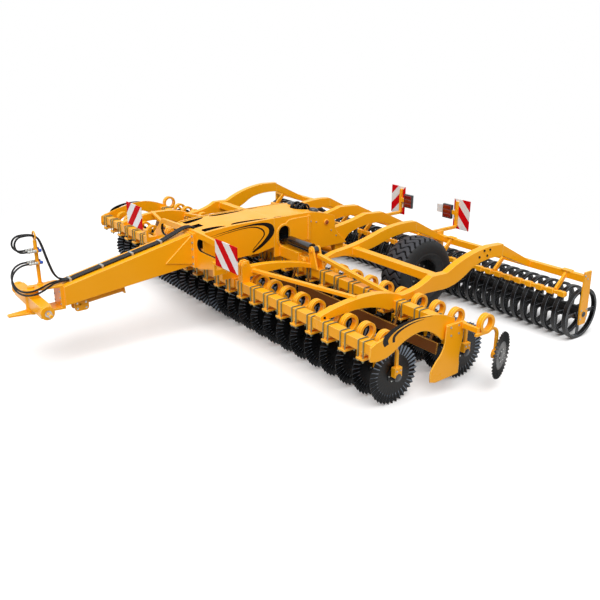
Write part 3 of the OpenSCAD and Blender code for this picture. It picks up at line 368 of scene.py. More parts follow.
@dataclass
class Mesher:
    """Collects the faces of one piece."""

    bm: bmesh.types.BMesh = field(default_factory=bmesh.new)
    index: int = 0

    def loft(self, rings: Sequence[Sequence[Vector]], caps: bool = True, loop: bool = False,
             pick: Callable[[int, int], int] | None = None) -> None:
        """Joins rings of equal count into a skin.

        Args:
            rings: Closed rings of points.
            caps: Whether the end rings are filled.
            loop: Whether the last ring joins the first.
            pick: Gives a face's finish from its ring and its place in the ring.
        """
        rows = [[self.bm.verts.new(p) for p in ring] for ring in rings]
        pairs = list(zip(rows, rows[1:])) + ([(rows[-1], rows[0])] if loop else [])
        for row, (a, b) in enumerate(pairs):
            for i in range(len(a)):
                k = (i + 1) % len(a)
                face = self.bm.faces.new((a[i], a[k], b[k], b[i]))
                face.material_index = pick(row, i) if pick else self.index
        if caps and not loop:
            for end in (rows[0][::-1], rows[-1]):
                self.bm.faces.new(end).material_index = self.index

    def prism(self, outline: Sequence[Vector], along: Vector) -> None:
        """Extrudes a flat outline along a vector."""
        self.loft([outline, [p + along for p in outline]])

    def block(self, low: Vector, high: Vector, chamfer: float = 2.0) -> None:
        """Adds a box with chamfered long edges.

        Args:
            low: Lowest corner.
            high: Highest corner.
            chamfer: Width of the chamfer in millimetres.
        """
        c = chamfer * MM
        rings = []
        for x, inset in ((low.x, c), (low.x + c, 0), (high.x - c, 0), (high.x, c)):
            y0, y1, z0, z1 = low.y + inset, high.y - inset, low.z + inset, high.z - inset
            rings.append([Vector((x, y0 + c, z0)), Vector((x, y1 - c, z0)), Vector((x, y1, z0 + c)),
                          Vector((x, y1, z1 - c)), Vector((x, y1 - c, z1)), Vector((x, y0 + c, z1)),
                          Vector((x, y0, z1 - c)), Vector((x, y0, z0 + c))])
        self.loft(rings)

    def turned(self, profile: Outline, origin: Vector, axis: Vector, steps: int = 24) -> None:
        """Turns a profile about an axis.

        Args:
            profile: Distances along the axis with radii, in millimetres.
            origin: Point on the axis where the distance is zero.
            axis: Direction of the axis.
            steps: Sides of the turning.
        """
        u, v, n = across(axis)
        self.loft([[origin + n * (a * MM) + (u * math.cos(t) + v * math.sin(t)) * (r * MM)
                    for t in turns(steps)] for a, r in profile])

    def tube(self, path: Sequence[Vector], radius: float, sides: int = 10, loop: bool = False) -> None:
        """Sweeps a round section along a path.

        Args:
            path: Points of the middle line.
            radius: Radius in millimetres.
            sides: Sides of the section.
            loop: Whether the path is closed.
        """
        count = len(path)
        normal = None
        rings = []
        for i, p in enumerate(path):
            ahead = path[(i + 1) % count] if loop or i < count - 1 else p
            behind = path[i - 1] if loop or i else p
            n = (ahead - behind).normalized()
            normal = across(n)[0] if normal is None else (normal - n * normal.dot(n)).normalized()
            side = n.cross(normal)
            rings.append([p + (normal * math.cos(t) + side * math.sin(t)) * (radius * MM)
                          for t in turns(sides)])
        self.loft(rings, loop=loop)

    def bolt(self, place: Vector, axis: Vector, size: float) -> None:
        """Adds a hexagon head on a washer.

        Args:
            place: Middle of the washer's seat.
            axis: Direction in which the head stands out.
            size: Thread size in millimetres.
        """
        washer = 0.18 * size
        flat = 0.94 * size
        self.turned([(-1, 1.15 * size), (washer, 1.15 * size)], place, axis, 16)
        self.turned([(washer, flat), (washer + 0.55 * size, flat), (washer + 0.68 * size, 0.84 * flat)],
                    place, axis, 6)

    def side_bolt(self, node: str, side: Side, place: tuple[float, float], size: float) -> None:
        """Sets a bolt on a node's outer face.

        Args:
            node: Name of the node.
            side: Side of the machine that the face looks to.
            place: Drawing Y and Z of the bolt.
            size: Thread size in millimetres.
        """
        way = X * side.value
        self.bolt(seat(node, at(side.value * OUTSIDE, *place), -way), way, size)

    def piece(self, name: str, finishes: Sequence[Finish], body: str,
              sharp: float = 32.0) -> bpy.types.Object:
        """Makes the piece, dresses it and lets it ride on its body.

        Args:
            name: Name of the piece.
            finishes: Finishes in the order of the faces' indices.
            body: Body that carries the piece.
            sharp: Angle in degrees above which an edge stays sharp.

        Returns:
            The new object.
        """
        bmesh.ops.recalc_face_normals(self.bm, faces=self.bm.faces)
        mesh = bpy.data.meshes.new(name)
        self.bm.to_mesh(mesh)
        self.bm.free()
        for finish in finishes:
            mesh.materials.append(finish.material())
        mesh.shade_smooth()
        mesh.set_sharp_from_angle(angle=math.radians(sharp))
        made = bpy.data.objects.new(name, mesh)
        bpy.context.scene.collection.objects.link(made)
        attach(made, body)
        log.info("%s on %s: %d faces", name, body, len(mesh.polygons))
        return made


def turns(steps: int) -> list[float]:
    """Angles of a full turn in equal steps."""
    return [math.tau * i / steps for i in range(steps)]


def across(axis: Vector) -> tuple[Vector, Vector, Vector]:
    """Gives a square set of directions about an axis.

    Args:
        axis: Direction of any length.

    Returns:
        Two directions across the axis, and the axis itself at unit length.
    """
    n = axis.normalized()
    seed = Z if abs(n.z) < 0.9 else Y
    u = n.cross(seed).normalized()
    return u, n.cross(u), n


def curve(points: Sequence[Vector], steps: int = 6) -> list[Vector]:
    """Runs a smooth line through points.

    Args:
        points: Points on the line.
        steps: Steps between two points.

    Returns:
        Points of the smooth line.
    """
    ends = [points[0] * 2 - points[1], *points, points[-1] * 2 - points[-2]]
    line = []
    for a, b, c, d in zip(ends, ends[1:], ends[2:], ends[3:]):
        for i in range(steps):
            t = i / steps
            line.append(0.5 * (2 * b + (c - a) * t + (2 * a - 5 * b + 4 * c - d) * t * t
                               + (3 * b - 3 * c + d - a) * t ** 3))
    return [*line, points[-1]]


def clip(outline: Outline, low: float, high: float, lean: float) -> Outline:
    """Cuts an outline to the band where u plus lean times v lies between two values.

    Args:
        outline: Convex outline in u and v.
        low: Lower value.
        high: Upper value.
        lean: Share of v.

    Returns:
        The part of the outline in the band.
    """
    for sign, limit in ((1, low), (-1, -high)):
        kept = []
        for a, b in zip(outline, [*outline[1:], *outline[:1]]):
            da, db = (sign * (p[0] + lean * p[1]) - limit for p in (a, b))
            if da >= 0:
                kept.append(a)
            if (da >= 0) != (db >= 0):
                t = da / (da - db)
                kept.append((a[0] + t * (b[0] - a[0]), a[1] + t * (b[1] - a[1])))
        outline = kept
    return outline


@dataclass(frozen=True)
class FreeHose:
    """A hydraulic hose that hangs free from the drawbar's first clip to its coupler."""

    node: str
    length: float
    route: Sequence[tuple[float, float, float]]
    radius: float = 10.0

    def build(self) -> bpy.types.Object:
        """Returns:
            The hose's object.
        """
        path = curve([at(*p) for p in self.route])
        mesher = Mesher()
        mesher.tube(path, self.radius, 14)
        made = mesher.piece(f"{self.node}_smooth", [HOSE_RUBBER], "chassis", sharp=50)
        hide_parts(self.node)
        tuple(path[0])
        return made


HOSES = (
    FreeHose("hose_near", 1.00, (
        (36, -1862, 881), (36, -1905, 881), (44, -1965, 882), (68, -2030, 882), (104, -2092, 873),
        (136, -2156, 854), (154, -2226, 838), (152, -2298, 832), (124, -2362, 842), (76, -2406, 872),
        (26, -2424, 920), (-10, -2418, 974), (-28, -2394, 1026), (-32, -2352, 1068), (-32, -2304, 1092),
        (-32, -2262, 1100), (-32, -2228, 1100))),
    FreeHose("hose_low", 0.97, (
        (12, -1862, 881), (12, -1905, 881), (16, -1965, 884), (32, -2030, 886), (62, -2092, 884),
        (94, -2156, 876), (114, -2226, 864), (112, -2298, 856), (86, -2356, 864), (40, -2394, 890),
        (-10, -2410, 932), (-56, -2408, 982), (-92, -2386, 1030), (-110, -2350, 1068),
        (-112, -2304, 1092), (-112, -2262, 1100), (-112, -2228, 1100))),
    FreeHose("hose_loop", 1.04, (
        (-12, -1862, 881), (-12, -1900, 881), (-15, -1942, 897), (-21, -1974, 930), (-28, -1996, 974),
        (-36, -2014, 1036), (-43, -2030, 1100), (-49, -2044, 1164), (-54, -2058, 1228),
        (-58, -2074, 1288), (-60, -2094, 1340), (-60, -2130, 1374), (-57, -2190, 1391),
        (-51, -2260, 1391), (-45, -2292, 1385), (-40, -2318, 1367), (-36, -2336, 1340),
        (-33, -2342, 1309), (-32, -2336, 1278), (-32, -2318, 1251), (-32, -2292, 1233),
        (-32, -2260, 1227), (-32, -2228, 1227))),
    FreeHose("hose_far", 1.05, (
        (-36, -1862, 881), (-36, -1900, 881), (-40, -1942, 896), (-48, -1974, 928), (-57, -1996, 972),
        (-65, -2014, 1032), (-72, -2030, 1096), (-77, -2044, 1160), (-81, -2058, 1224),
        (-84, -2074, 1286), (-85, -2094, 1340), (-86, -2130, 1374), (-89, -2190, 1393),
        (-95, -2262, 1395), (-100, -2296, 1388), (-105, -2324, 1369), (-109, -2342, 1341),
        (-111, -2348, 1309), (-112, -2341, 1277), (-112, -2322, 1250), (-112, -2294, 1232),
        (-112, -2260, 1227), (-112, -2228, 1227))),
)


@dataclass(frozen=True)
class HoseRun:
    """The four hoses as the clips hold them, from the first clip to the bulkhead under the deck."""

    pitch: float = 24.0
    radius: float = 10.0
    line: Outline = ((-1838, 881), (-1818, 881), (-1790, 893), (-760, 1116), (-500, 1216), (-440, 1226),
                     (-395, 1224), (-300, 1180), (-240, 1150), (-180, 1140), (-20, 1140), (0, 1140))
    coupler_y: float = -2138.0
    plate: float = 16.0
    coupler_x: tuple[float, float] = (-32.0, -112.0)
    coupler_z: tuple[float, float] = (1100.0, 1227.0)
    collars: Outline = ((-20, 18), (-46, 17), (-72, 18))
    count: int = 4

    def build(self) -> None:
        """Makes the run of hoses, and the caps and collars of their couplers."""
        mesher = Mesher()
        for i in range(self.count):
            x = ((self.count - 1) / 2 - i) * self.pitch
            mesher.tube([at(x, y, z) for y, z in self.line], self.radius, 14)
        made = mesher.piece("hose_bundle_smooth", [HOSE_RUBBER], "chassis", sharp=50)
        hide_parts("hose_bundle")
        caps = Mesher()
        for x in self.coupler_x:
            for z in self.coupler_z:
                rear = at(x, self.coupler_y + self.plate, z)
                caps.index = 0
                caps.turned([(-1, 13), (6, 13), (6, 17), (30, 17), (36, 13)], rear, Y, 20)
                caps.index = 1
                for reach, r in self.collars:
                    caps.turned([(-7, r - 1.5), (-5, r), (5, r), (7, r - 1.5)],
                                at(x, self.coupler_y + reach, z), Y, 20)
        caps.piece("coupler_caps", [BLUE_CAP, ZINC], "chassis", sharp=40)


@dataclass
class DiscGang:
    """Pleated discs that turn as one, with their flanges, stub axles and bolts."""

    node: str
    body: str
    spots: Sequence[tuple[Vector, Vector]]
    radius: float = 300.0
    teeth: int = 36
    tooth_depth: float = 16.0
    sheet: float = 5.0
    wave: float = 9.0
    smooth_width: float = 110.0
    flange: float = 78.0
    flange_reach: float = 11.0
    stub: float = 20.0
    stub_length: float = 76.0
    bolt_ring: float = 62.0
    bolt_size: float = 8.0
    dish: float = 4.0
    # Finish of the pleat flank that carries the painted highlight.
    flank_finish: Finish = DISC_FLANK_HIGHLIGHT

    def build(self) -> bpy.types.Object:
        """Makes the gang and lets it stand for its node.

        Returns:
            The gang's object.
        """
        mesher = Mesher()
        for middle, axis in self.spots:
            self.disc(mesher, middle, axis)
        made = mesher.piece(self.node + "_pleated", [DISC_PAINT, ZINC, self.flank_finish], self.body,
                            sharp=24)
        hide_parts(self.node)
        return made

    def disc(self, mesher: Mesher, middle: Vector, axis: Vector) -> None:
        """Adds one disc.

        Args:
            mesher: Collector of the gang.
            middle: Middle of the disc.
            axis: Direction towards the hub.
        """
        u, v, n = across(axis)
        start = self.radius - self.smooth_width
        radii = [self.flange - 12, start] + [start + self.smooth_width * k for k in (0.12, 0.4, 0.72, 1.0)]

        def ring(r: float, face: int) -> list[Vector]:
            """Gives the points of one ring on a face of the sheet.

            Args:
                r: Radius of the ring in millimetres.
                face: 1 on the face towards the hub, -1 on the other.

            Returns:
                The ring's points.
            """
            share = min(1.0, max(0.0, (r - start) / (0.45 * self.smooth_width)))
            line = []
            for i, t in enumerate(turns(self.teeth * 4)):
                fold = (1.0, 0.0, -1.0, 0.0)[i % 4]
                edge = r - (self.tooth_depth / 2 * (1 - fold) if r == self.radius else 0)
                out = self.wave * share * fold + face * self.sheet / 2
                line.append(middle + n * (out * MM) + (u * math.cos(t) + v * math.sin(t)) * (edge * MM))
            return line

        def flank(row: int, place: int) -> int:
            """Gives a face's finish.

            Args:
                row: Ring that the face starts from.
                place: Step round the ring.

            Returns:
                2 on the flank that carries the painted highlight, 0 for paint elsewhere.
            """
            crest = 0 if row in range(2, 5) else 2 if row in range(6, 9) else -1
            return 2 if place % 4 == crest else 0

        mesher.index = 0
        mesher.loft([ring(r, 1) for r in radii] + [ring(r, -1) for r in reversed(radii)], loop=True,
                    pick=flank)
        mesher.turned([(-7, 58), (-3, 70), (3, self.flange), (self.flange_reach, self.flange),
                       (self.flange_reach, self.stub), (self.stub_length - 3, self.stub),
                       (self.stub_length, self.stub - 3)], middle, axis, 28)
        mesher.index = 1
        for t in turns(6):
            around = (u * math.cos(t) + v * math.sin(t)) * (self.bolt_ring * MM)
            mesher.bolt(middle + around - n * (self.dish * MM), -axis, self.bolt_size)
            mesher.bolt(middle + around + n * (self.flange_reach * MM), axis, self.bolt_size)


@dataclass
class RoadTyre:
    """A wide flotation tyre with wavy lugs across its crown."""

    side: Side
    radius: float = 470.0
    width: float = 400.0
    rim: float = 216.3
    groove_depth: float = 16.0
    lugs: int = 32
    groove_share: float = 0.32
    sway: float = 0.34
    crown: float = 0.8
    crown_steps: int = 40
    wall_steps: int = 10
    steps: int = 416

    def build(self) -> bpy.types.Object:
        """Makes the tyre and lets it stand for its node.

        Returns:
            The tyre's object.
        """
        node = f"tyre_{self.side.word}"
        low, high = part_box(node)
        middle = (low + high) / 2
        mesher = Mesher()
        mesher.loft([[middle + Vector((a, r * math.sin(t), r * math.cos(t))) for a, r in self.section(t)]
                     for t in turns(self.steps)], loop=True, pick=self.face_finish)
        made = mesher.piece(node + "_treaded", [RUBBER, LUG_HIGHLIGHT_RUBBER, GROOVE_SHADE_RUBBER],
                            f"wheel_{self.side.word}", sharp=38)
        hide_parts(node)
        return made

    def face_finish(self, row: int, place: int) -> int:
        """Finish of a face of the tyre's skin.

        Args:
            row: Step round the axle.
            place: Step across the section.

        Returns:
            0 on the walls, 1 on the lugs, which carry a painted highlight, and 2 in the grooves, which carry
            painted shade.
        """
        step = place - self.wall_steps
        if not 0 <= step < self.crown_steps:
            return 0
        share = self.crown * (2 * (step + 0.5) / self.crown_steps - 1)
        deep = self.cut(share, math.tau * (row + 0.5) / self.steps) > 0.4 * self.groove_depth
        return 2 if deep else 1

    def section(self, turn: float) -> list[tuple[float, float]]:
        """Gives the tyre's section at an angle, in metres.

        Args:
            turn: Angle round the axle.

        Returns:
            Points across the axle, each with its radius.
        """
        half = self.width / 2
        wall = [(self.rim, 0.72), (self.rim + 22, 0.84), (self.rim + 60, 0.955), (self.rim + 66, 0.985),
                (self.rim + 76, 0.985), (self.rim + 82, 0.965), (self.rim + 125, 0.995),
                (self.rim + 165, 0.98), (self.radius - 60, 0.94), (self.radius - 40, 0.87)]
        crown = [self.crown * (2 * i / self.crown_steps - 1) for i in range(self.crown_steps + 1)]
        points = [(-half * w, r) for r, w in wall]
        for w in crown:
            points.append((half * w, self.radius - 22 * abs(w / self.crown) ** 2.6 - self.cut(w, turn)))
        points += [(half * w, r) for r, w in reversed(wall)]
        return [(a * MM, r * MM) for a, r in points]

    def cut(self, across_share: float, turn: float) -> float:
        """Gives the depth of the tread's grooves at a place on the crown.

        Args:
            across_share: Place across the tyre, from -1 to 1 over its full width.
            turn: Angle round the axle.

        Returns:
            Depth in millimetres, 0 on a lug.
        """
        wave = self.sway * math.cos(math.tau * 1.25 * across_share)
        phase = (turn * self.lugs / math.tau + wave) % 1
        gap = abs(phase - 0.5) - (0.5 - self.groove_share / 2)
        return self.groove_depth * min(1.0, max(0.0, gap / 0.06))


@dataclass
class ArmClamps:
    """U-bolts that hold one section's coil arms on its toolbars, and the bearings under the arms' hubs."""

    section: str
    body: str
    places: Sequence[float]
    rows: Sequence[float] = (0.0, 950.0)
    beam_ahead: float = 230.0
    beam: float = 100.0
    beam_top: float = 760.0
    clamp_low: float = 583.0
    rod: float = 6.5
    spread: float = 34.0
    bend: float = 12.0
    thread: float = 22.0
    play: float = 0.5
    hub_back: float = 150.0
    hub_z: float = 300.0
    hub_r: float = 46.0
    hub_from: float = -4.0
    hub_to: float = 50.0
    hub_bolt: tuple[float, float] = (24.0, 66.0)
    hub_bolt_size: float = 8.0

    def build(self) -> None:
        """Makes all U-bolts and bearings of the section."""
        rods, bearings = Mesher(), Mesher()
        for y in self.rows:
            for x in self.places:
                for side in (-1, 1):
                    self.u_bolt(rods, x + side * self.spread, y - self.beam_ahead)
                self.bearing(bearings, x, y + self.hub_back)
        rods.piece(f"arm_bolts_{self.section}", [OLIVE_ZINC], self.body, sharp=40)
        bearings.piece(f"hub_bearings_{self.section}", [MOULDED_BLACK, ZINC], self.body, sharp=40)

    def u_bolt(self, mesher: Mesher, x: float, y: float) -> None:
        """Adds one U-bolt round the toolbar, with a nut under each leg.

        Args:
            mesher: Collector of the section's U-bolts.
            x: Drawing X of the rod.
            y: Drawing Y of the toolbar's middle.
        """
        r, bend = self.rod, self.bend
        reach = self.beam / 2 + r + self.play
        top = self.beam_top + r + self.play
        arc = [(reach - bend + bend * math.cos(a), top - bend + bend * math.sin(a))
               for a in (i * math.pi / 8 for i in range(5))]
        half = [(reach, self.clamp_low - self.thread), *arc]
        path = [at(x, y + d, z) for d, z in half] + [at(x, y - d, z) for d, z in reversed(half)]
        mesher.tube(path, r, 8)
        for d in (-reach, reach):
            mesher.turned([(-1, 1.95 * r), (1.6 * r, 1.95 * r), (1.9 * r, 1.6 * r)],
                          at(x, y + d, self.clamp_low), -Z, 6)

    def bearing(self, mesher: Mesher, x: float, y: float) -> None:
        """Adds the black half bearing under a hub and the two bolts of its housing.

        Args:
            mesher: Collector of the section's bearings.
            x: Drawing X of the coil.
            y: Drawing Y of the hub.
        """
        way = 1 if x > 0 else -1
        low, high = x + way * (self.hub_from - 1), x + way * (self.hub_to + 1)
        r = self.hub_r + 1.5
        mesher.index = 0
        outline = [at(low, y + r * math.cos(a), self.hub_z - r * math.sin(a))
                   for a in (math.pi * i / 14 for i in range(15))]
        mesher.prism(outline, X * ((high - low) * MM))
        mesher.turned([(-1, 34), (5, 34), (9, 28)], at(x + way * self.hub_to, y, self.hub_z), X * way, 24)
        mesher.index = 1
        aside, up = self.hub_bolt
        for d in (-aside, aside):
            mesher.bolt(at(x + way * self.hub_to, y + d, self.hub_z + up), X * way, self.hub_bolt_size)


@dataclass(frozen=True)
class FilmStripe:
    """A cut film stripe on an upright plate: points along its middle line, each with its own width."""

    line: Sequence[tuple[float, float, float]]
    proud: float = 0.8
    sunk: float = 1.0

    def lay(self, mesher: Mesher, face_x: float, side: Side) -> None:
        """Lays the stripe on a plate's outer face.

        Args:
            mesher: Collector of the stripes.
            face_x: Distance of the face from the machine's middle.
            side: Side of the machine.
        """
        path = curve([Vector(p) for p in self.line], 8)
        rings = []
        for i, p in enumerate(path):
            run = path[min(i + 1, len(path) - 1)] - path[max(i - 1, 0)]
            off = Vector((-run.y, run.x)).normalized() * (p.z / 2)
            edges = ((p.x + off.x, p.y + off.y), (p.x - off.x, p.y - off.y))
            out, back = side.value * (face_x + self.proud), side.value * (face_x - self.sunk)
            rings.append([at(out, *edges[0]), at(out, *edges[1]),
                          at(back, *edges[1]), at(back, *edges[0])])
        mesher.loft(rings)


@dataclass(frozen=True)
class Films:
    """The plain curved stripes on the tower's sides and on the wings' end plates."""

    tower_x: float = 325.0
    end_x: float = 3015.0
    tower: tuple[FilmStripe, ...] = (
        FilmStripe(((-306, 1158, 2), (-115, 1183, 7), (90, 1203, 13), (275, 1208, 22), (415, 1193, 38),
                    (500, 1152, 66), (522, 1098, 78), (495, 1040, 66), (388, 950, 44), (246, 876, 22))),
        FilmStripe(((-263, 1140, 2), (-82, 1166, 6), (130, 1184, 9), (275, 1178, 13), (378, 1138, 18),
                    (414, 1088, 19), (392, 1034, 15), (248, 906, 8))),
    )
    end: tuple[FilmStripe, ...] = (
        FilmStripe(((-108, 720, 54), (-121, 780, 64), (-52, 836, 48), (86, 876, 30), (262, 889, 14),
                    (464, 869, 2))),
        FilmStripe(((-22, 730, 30), (-16, 786, 32), (66, 832, 22), (205, 860, 12), (350, 862, 2))),
    )

    def build(self) -> None:
        """Lays the stripes on both sides."""
        tower = Mesher()
        for side in Side:
            for stripe in self.tower:
                stripe.lay(tower, self.tower_x, side)
            ends = Mesher()
            for stripe in self.end:
                stripe.lay(ends, self.end_x, side)
            ends.piece(f"end_stripes_{side.word}", [VINYL], f"wing_{side.word}")
        tower.piece("tower_stripes", [VINYL], "chassis")


@dataclass(frozen=True)
class BoxHollow:
    """The inside of the box that the tower's side plates and deck enclose."""

    nodes: tuple[str, str] = ("front_frame", "tower")
    inner: float = 300.0
    play: float = 6.0
    bulkhead: tuple[float, float] = (-4.0, 20.0)
    deck: tuple[float, float] = (-395.0, 1380.0)
    floor: float = 1100.0
    window_y: tuple[float, float] = (-429.0, -401.0)
    window_z: tuple[float, float] = (990.0, 1140.0)
    window_x: float = 696.0

    def dress(self) -> None:
        """Paints brown black shade on the faces that look into the box."""
        for node in self.nodes:
            mesh = frame["nodes"][node].data
            mesh.materials.append(BOX_SHADE_PAINT.material())
            for face in mesh.polygons:
                if self.looks_in(face):
                    face.material_index = 1

    def looks_in(self, face: bpy.types.MeshPolygon) -> bool:
        """Tells whether a face looks into the box.

        Args:
            face: Face of a node's mesh.

        Returns:
            Whether it is a side plate's inner face, the deck's underside, the bulkhead, or a wall of a slot
            or window.
        """
        x, y, z = face.center.x / MM, (face.center.y - ROW) / MM, face.center.z / MM
        if self.window_y[0] < y < self.window_y[1] and abs(face.normal.y) < 0.4:
            return abs(x) < self.window_x and self.window_z[0] < z < self.window_z[1]
        if abs(x) > self.inner + self.play:
            return False
        plate = abs(abs(x) - self.inner) < self.play and face.normal.x * x < -0.5 * self.inner
        under = face.normal.z < -0.5 and z > self.floor
        wall = abs(face.normal.y) > 0.5 and self.bulkhead[0] < y < self.bulkhead[1]
        slot = abs(face.normal.z) < 0.4 and z > self.floor and self.deck[0] < y < self.deck[1]
        return plate or under or wall or (slot and abs(x) < self.inner - self.play / 2)


@dataclass(frozen=True)
class TowerFittings:
    """The tower's bolts, pin ends and deck caps, and the valve with its hoses in the rear opening."""

    bolts: Outline = ((1114, 1124), (1196, 1103), (1440, 960), (1520, 880))
    pin: tuple[float, float] = (1355.0, 1080.0)
    cap: tuple[float, float] = (230.0, 1225.0)
    cap_r: float = 46.0
    cap_rim: float = 14.0
    above: float = 1400.0
    bolt_size: float = 9.0
    inner: float = 300.0
    valve_y: float = 1175.0
    valve_z: float = 1060.0
    hoses: int = 6
    hose_r: float = 13.0
    hose_pitch: float = 44.0
    hose_rise: float = 205.0
    rise_step: float = 22.0

    def build(self) -> None:
        """Makes the fittings."""
        heads, caps = Mesher(), Mesher()
        for side in Side:
            for place in self.bolts:
                heads.side_bolt("tower", side, place, self.bolt_size)
            heads.index = 1
            end = seat("tower", at(side.value * OUTSIDE, *self.pin), -X * side.value)
            heads.turned([(-1, 27), (3, 27), (5, 24)], end, X * side.value, 28)
            heads.index = 0
            self.deck_cap(caps, side)
        heads.piece("tower_bolts", [ZINC, PIN_END_BROWN], "chassis", sharp=40)
        caps.piece("deck_caps", [MOULDED_BLACK], "chassis", sharp=50)
        self.valve()

    def deck_cap(self, mesher: Mesher, side: Side) -> None:
        """Sets a domed cap over a hole in the deck.

        Args:
            mesher: Collector of the caps.
            side: Side of the machine.
        """
        x, y = self.cap[0] * side.value, self.cap[1]
        rim = self.cap_r + self.cap_rim
        ahead, behind = (seat("tower", at(x, y + d, self.above), -Z) for d in (-rim, rim))
        slope = (behind - ahead).normalized()
        up = slope.cross(X) * -1 if slope.cross(X).z < 0 else slope.cross(X)
        mesher.turned([(-8, self.cap_r - 4), (1, self.cap_r - 3), (1, rim), (12, rim - 1), (30, rim - 6),
                       (38, self.cap_r - 8), (42, 8)], (ahead + behind) / 2, up, 32)

    def valve(self) -> None:
        """Makes the valve on its cross bar, with hoses that arch through the rear opening."""
        mesher = Mesher()
        y, z = self.valve_y, self.valve_z
        mesher.block(at(-self.inner - 1, y - 18, z - 60), at(self.inner + 1, y + 18, z - 20))
        mesher.block(at(-130, y - 55, z - 24), at(130, y + 55, z + 30), 4)
        mesher.index = 1
        for i in range(self.hoses):
            x = (i - (self.hoses - 1) / 2) * self.hose_pitch
            rise = self.hose_rise + self.rise_step * (i % 2)
            mesher.tube(curve([at(x, y - 40, z + 20), at(x, y - 62, z + 80), at(x, y - 48, z + rise - 26),
                               at(x, y + 6, z + rise), at(x, y + 62, z + rise - 30), at(x, y + 74, z + 80),
                               at(x, y + 46, z + 20)]), self.hose_r, 12)
        mesher.piece("tower_valve", [MOULDED_BLACK, HOSE_RUBBER], "chassis", sharp=40)


@dataclass(frozen=True)
class DrawbarFittings:
    """The drawbar's bolts, the leg's cheeks, the hose post's tube and the collars of the hitch's pins."""

    flange_bolts: Outline = ((162, 1150), (162, 1076), (162, 1000), (162, 906), (162, 826))
    flange_ahead: float = -700.0
    flange_bolt_size: float = 12.0
    front_bolts: Outline = ((92, 790), (92, 722), (92, 655))
    front_ahead: float = -2060.0
    front_bolt_size: float = 10.0
    leg_plate: tuple[float, float, float, float] = (-1842.0, 520.0, -1686.0, 640.0)
    plate_corner: float = 34.0
    plate_bolt: float = 30.0
    plate_bolt_size: float = 9.0
    bracket_x: float = 52.0
    plate: float = 6.0
    post: tuple[float, float, float] = (-72.0, -2130.0, 872.0)
    post_r: float = 19.0
    post_h: float = 458.0
    link_z: float = 731.0

    def build(self) -> None:
        """Makes the bolts, cheeks and collars of both sides, and the post's tube."""
        mesher = Mesher()
        for side in Side:
            for x, z in self.flange_bolts:
                start = at(side.value * x, self.flange_ahead, z)
                mesher.bolt(seat("drawbar", start, Y), -Y, self.flange_bolt_size)
            for x, z in self.front_bolts:
                start = at(side.value * x, self.front_ahead, z)
                mesher.bolt(seat("drawbar", start, Y), -Y, self.front_bolt_size)
            self.leg_cheek(mesher, side)
        mesher.index = 1
        r = self.post_r
        mesher.turned([(0, r - 2), (2, r), (self.post_h - 2, r), (self.post_h, r - 2)], at(*self.post), Z, 28)
        mesher.piece("drawbar_bolts", [ZINC, ENAMEL], "chassis", sharp=40)
        self.collars()

    def leg_cheek(self, mesher: Mesher, side: Side) -> None:
        """Adds the rounded cheek plate of the leg's bracket with a bolt at each corner.

        Args:
            mesher: Collector of the drawbar's fittings.
            side: Side of the machine.
        """
        y0, z0, y1, z1 = self.leg_plate
        r = self.plate_corner
        way = X * side.value
        face = side.value * (self.bracket_x + self.plate)
        corners = ((y1 - r, z1 - r), (y0 + r, z1 - r), (y0 + r, z0 + r), (y1 - r, z0 + r))
        outline = [at(side.value * self.bracket_x, y + r * math.cos(a), z + r * math.sin(a))
                   for k, (y, z) in enumerate(corners) for a in ((k + i / 4) * math.pi / 2 for i in range(5))]
        mesher.index = 1
        mesher.prism(outline, way * (self.plate * MM))
        mesher.index = 0
        for y in (y0 + self.plate_bolt, y1 - self.plate_bolt):
            for z in (z0 + self.plate_bolt, z1 - self.plate_bolt):
                mesher.bolt(at(face, y, z), way, self.plate_bolt_size)

    def collars(self) -> None:
        """Makes the bright collars and link clips of the hitch's pins."""
        mesher = Mesher()
        low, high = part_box("hitch_bar")
        middle = (low + high) / 2
        for side in Side:
            tip = Vector((high.x if side is Side.LEFT else low.x, middle.y, self.link_z * MM))
            mesher.turned([(-34, 20), (-32, 25), (-24, 25), (-22, 20)], tip, X * side.value, 24)
            mesher.turned([(-100, 20), (-98, 34), (-90, 34), (-88, 20)], tip, X * side.value, 24)
        mesher.piece("link_collars", [ZINC], "hitch", sharp=40)


@dataclass(frozen=True)
class WingFittings:
    """Bolts of one wing's shield, roller plates and middle member."""

    side: Side
    shield_bolts: Outline = ((690, 706), (698, 622), (800, 706), (806, 622))
    roller_bolts: Outline = ((2918, 352), (3022, 352), (2918, 248), (3022, 248), (2905, 772), (2955, 730))
    member_bolts: Outline = ((1955, 985), (2030, 1045), (2085, 980), (2128, 1042), (-230, 782))
    plate_size: float = 10.0
    member_size: float = 12.0

    def build(self) -> None:
        """Makes the bolts of the wing, bright on the plates and dark on the member."""
        mesher = Mesher()
        for node, places, size, finish in (
                ("end_plates", self.shield_bolts, self.plate_size, 0),
                ("roller_frame", self.roller_bolts, self.plate_size, 0),
                ("frame", self.member_bolts, self.member_size, 1)):
            mesher.index = finish
            for place in places:
                mesher.side_bolt(f"{node}_{self.side.word}", self.side, place, size)
        mesher.piece(f"wing_bolts_{self.side.word}", [ZINC, OXIDE], f"wing_{self.side.word}", sharp=40)


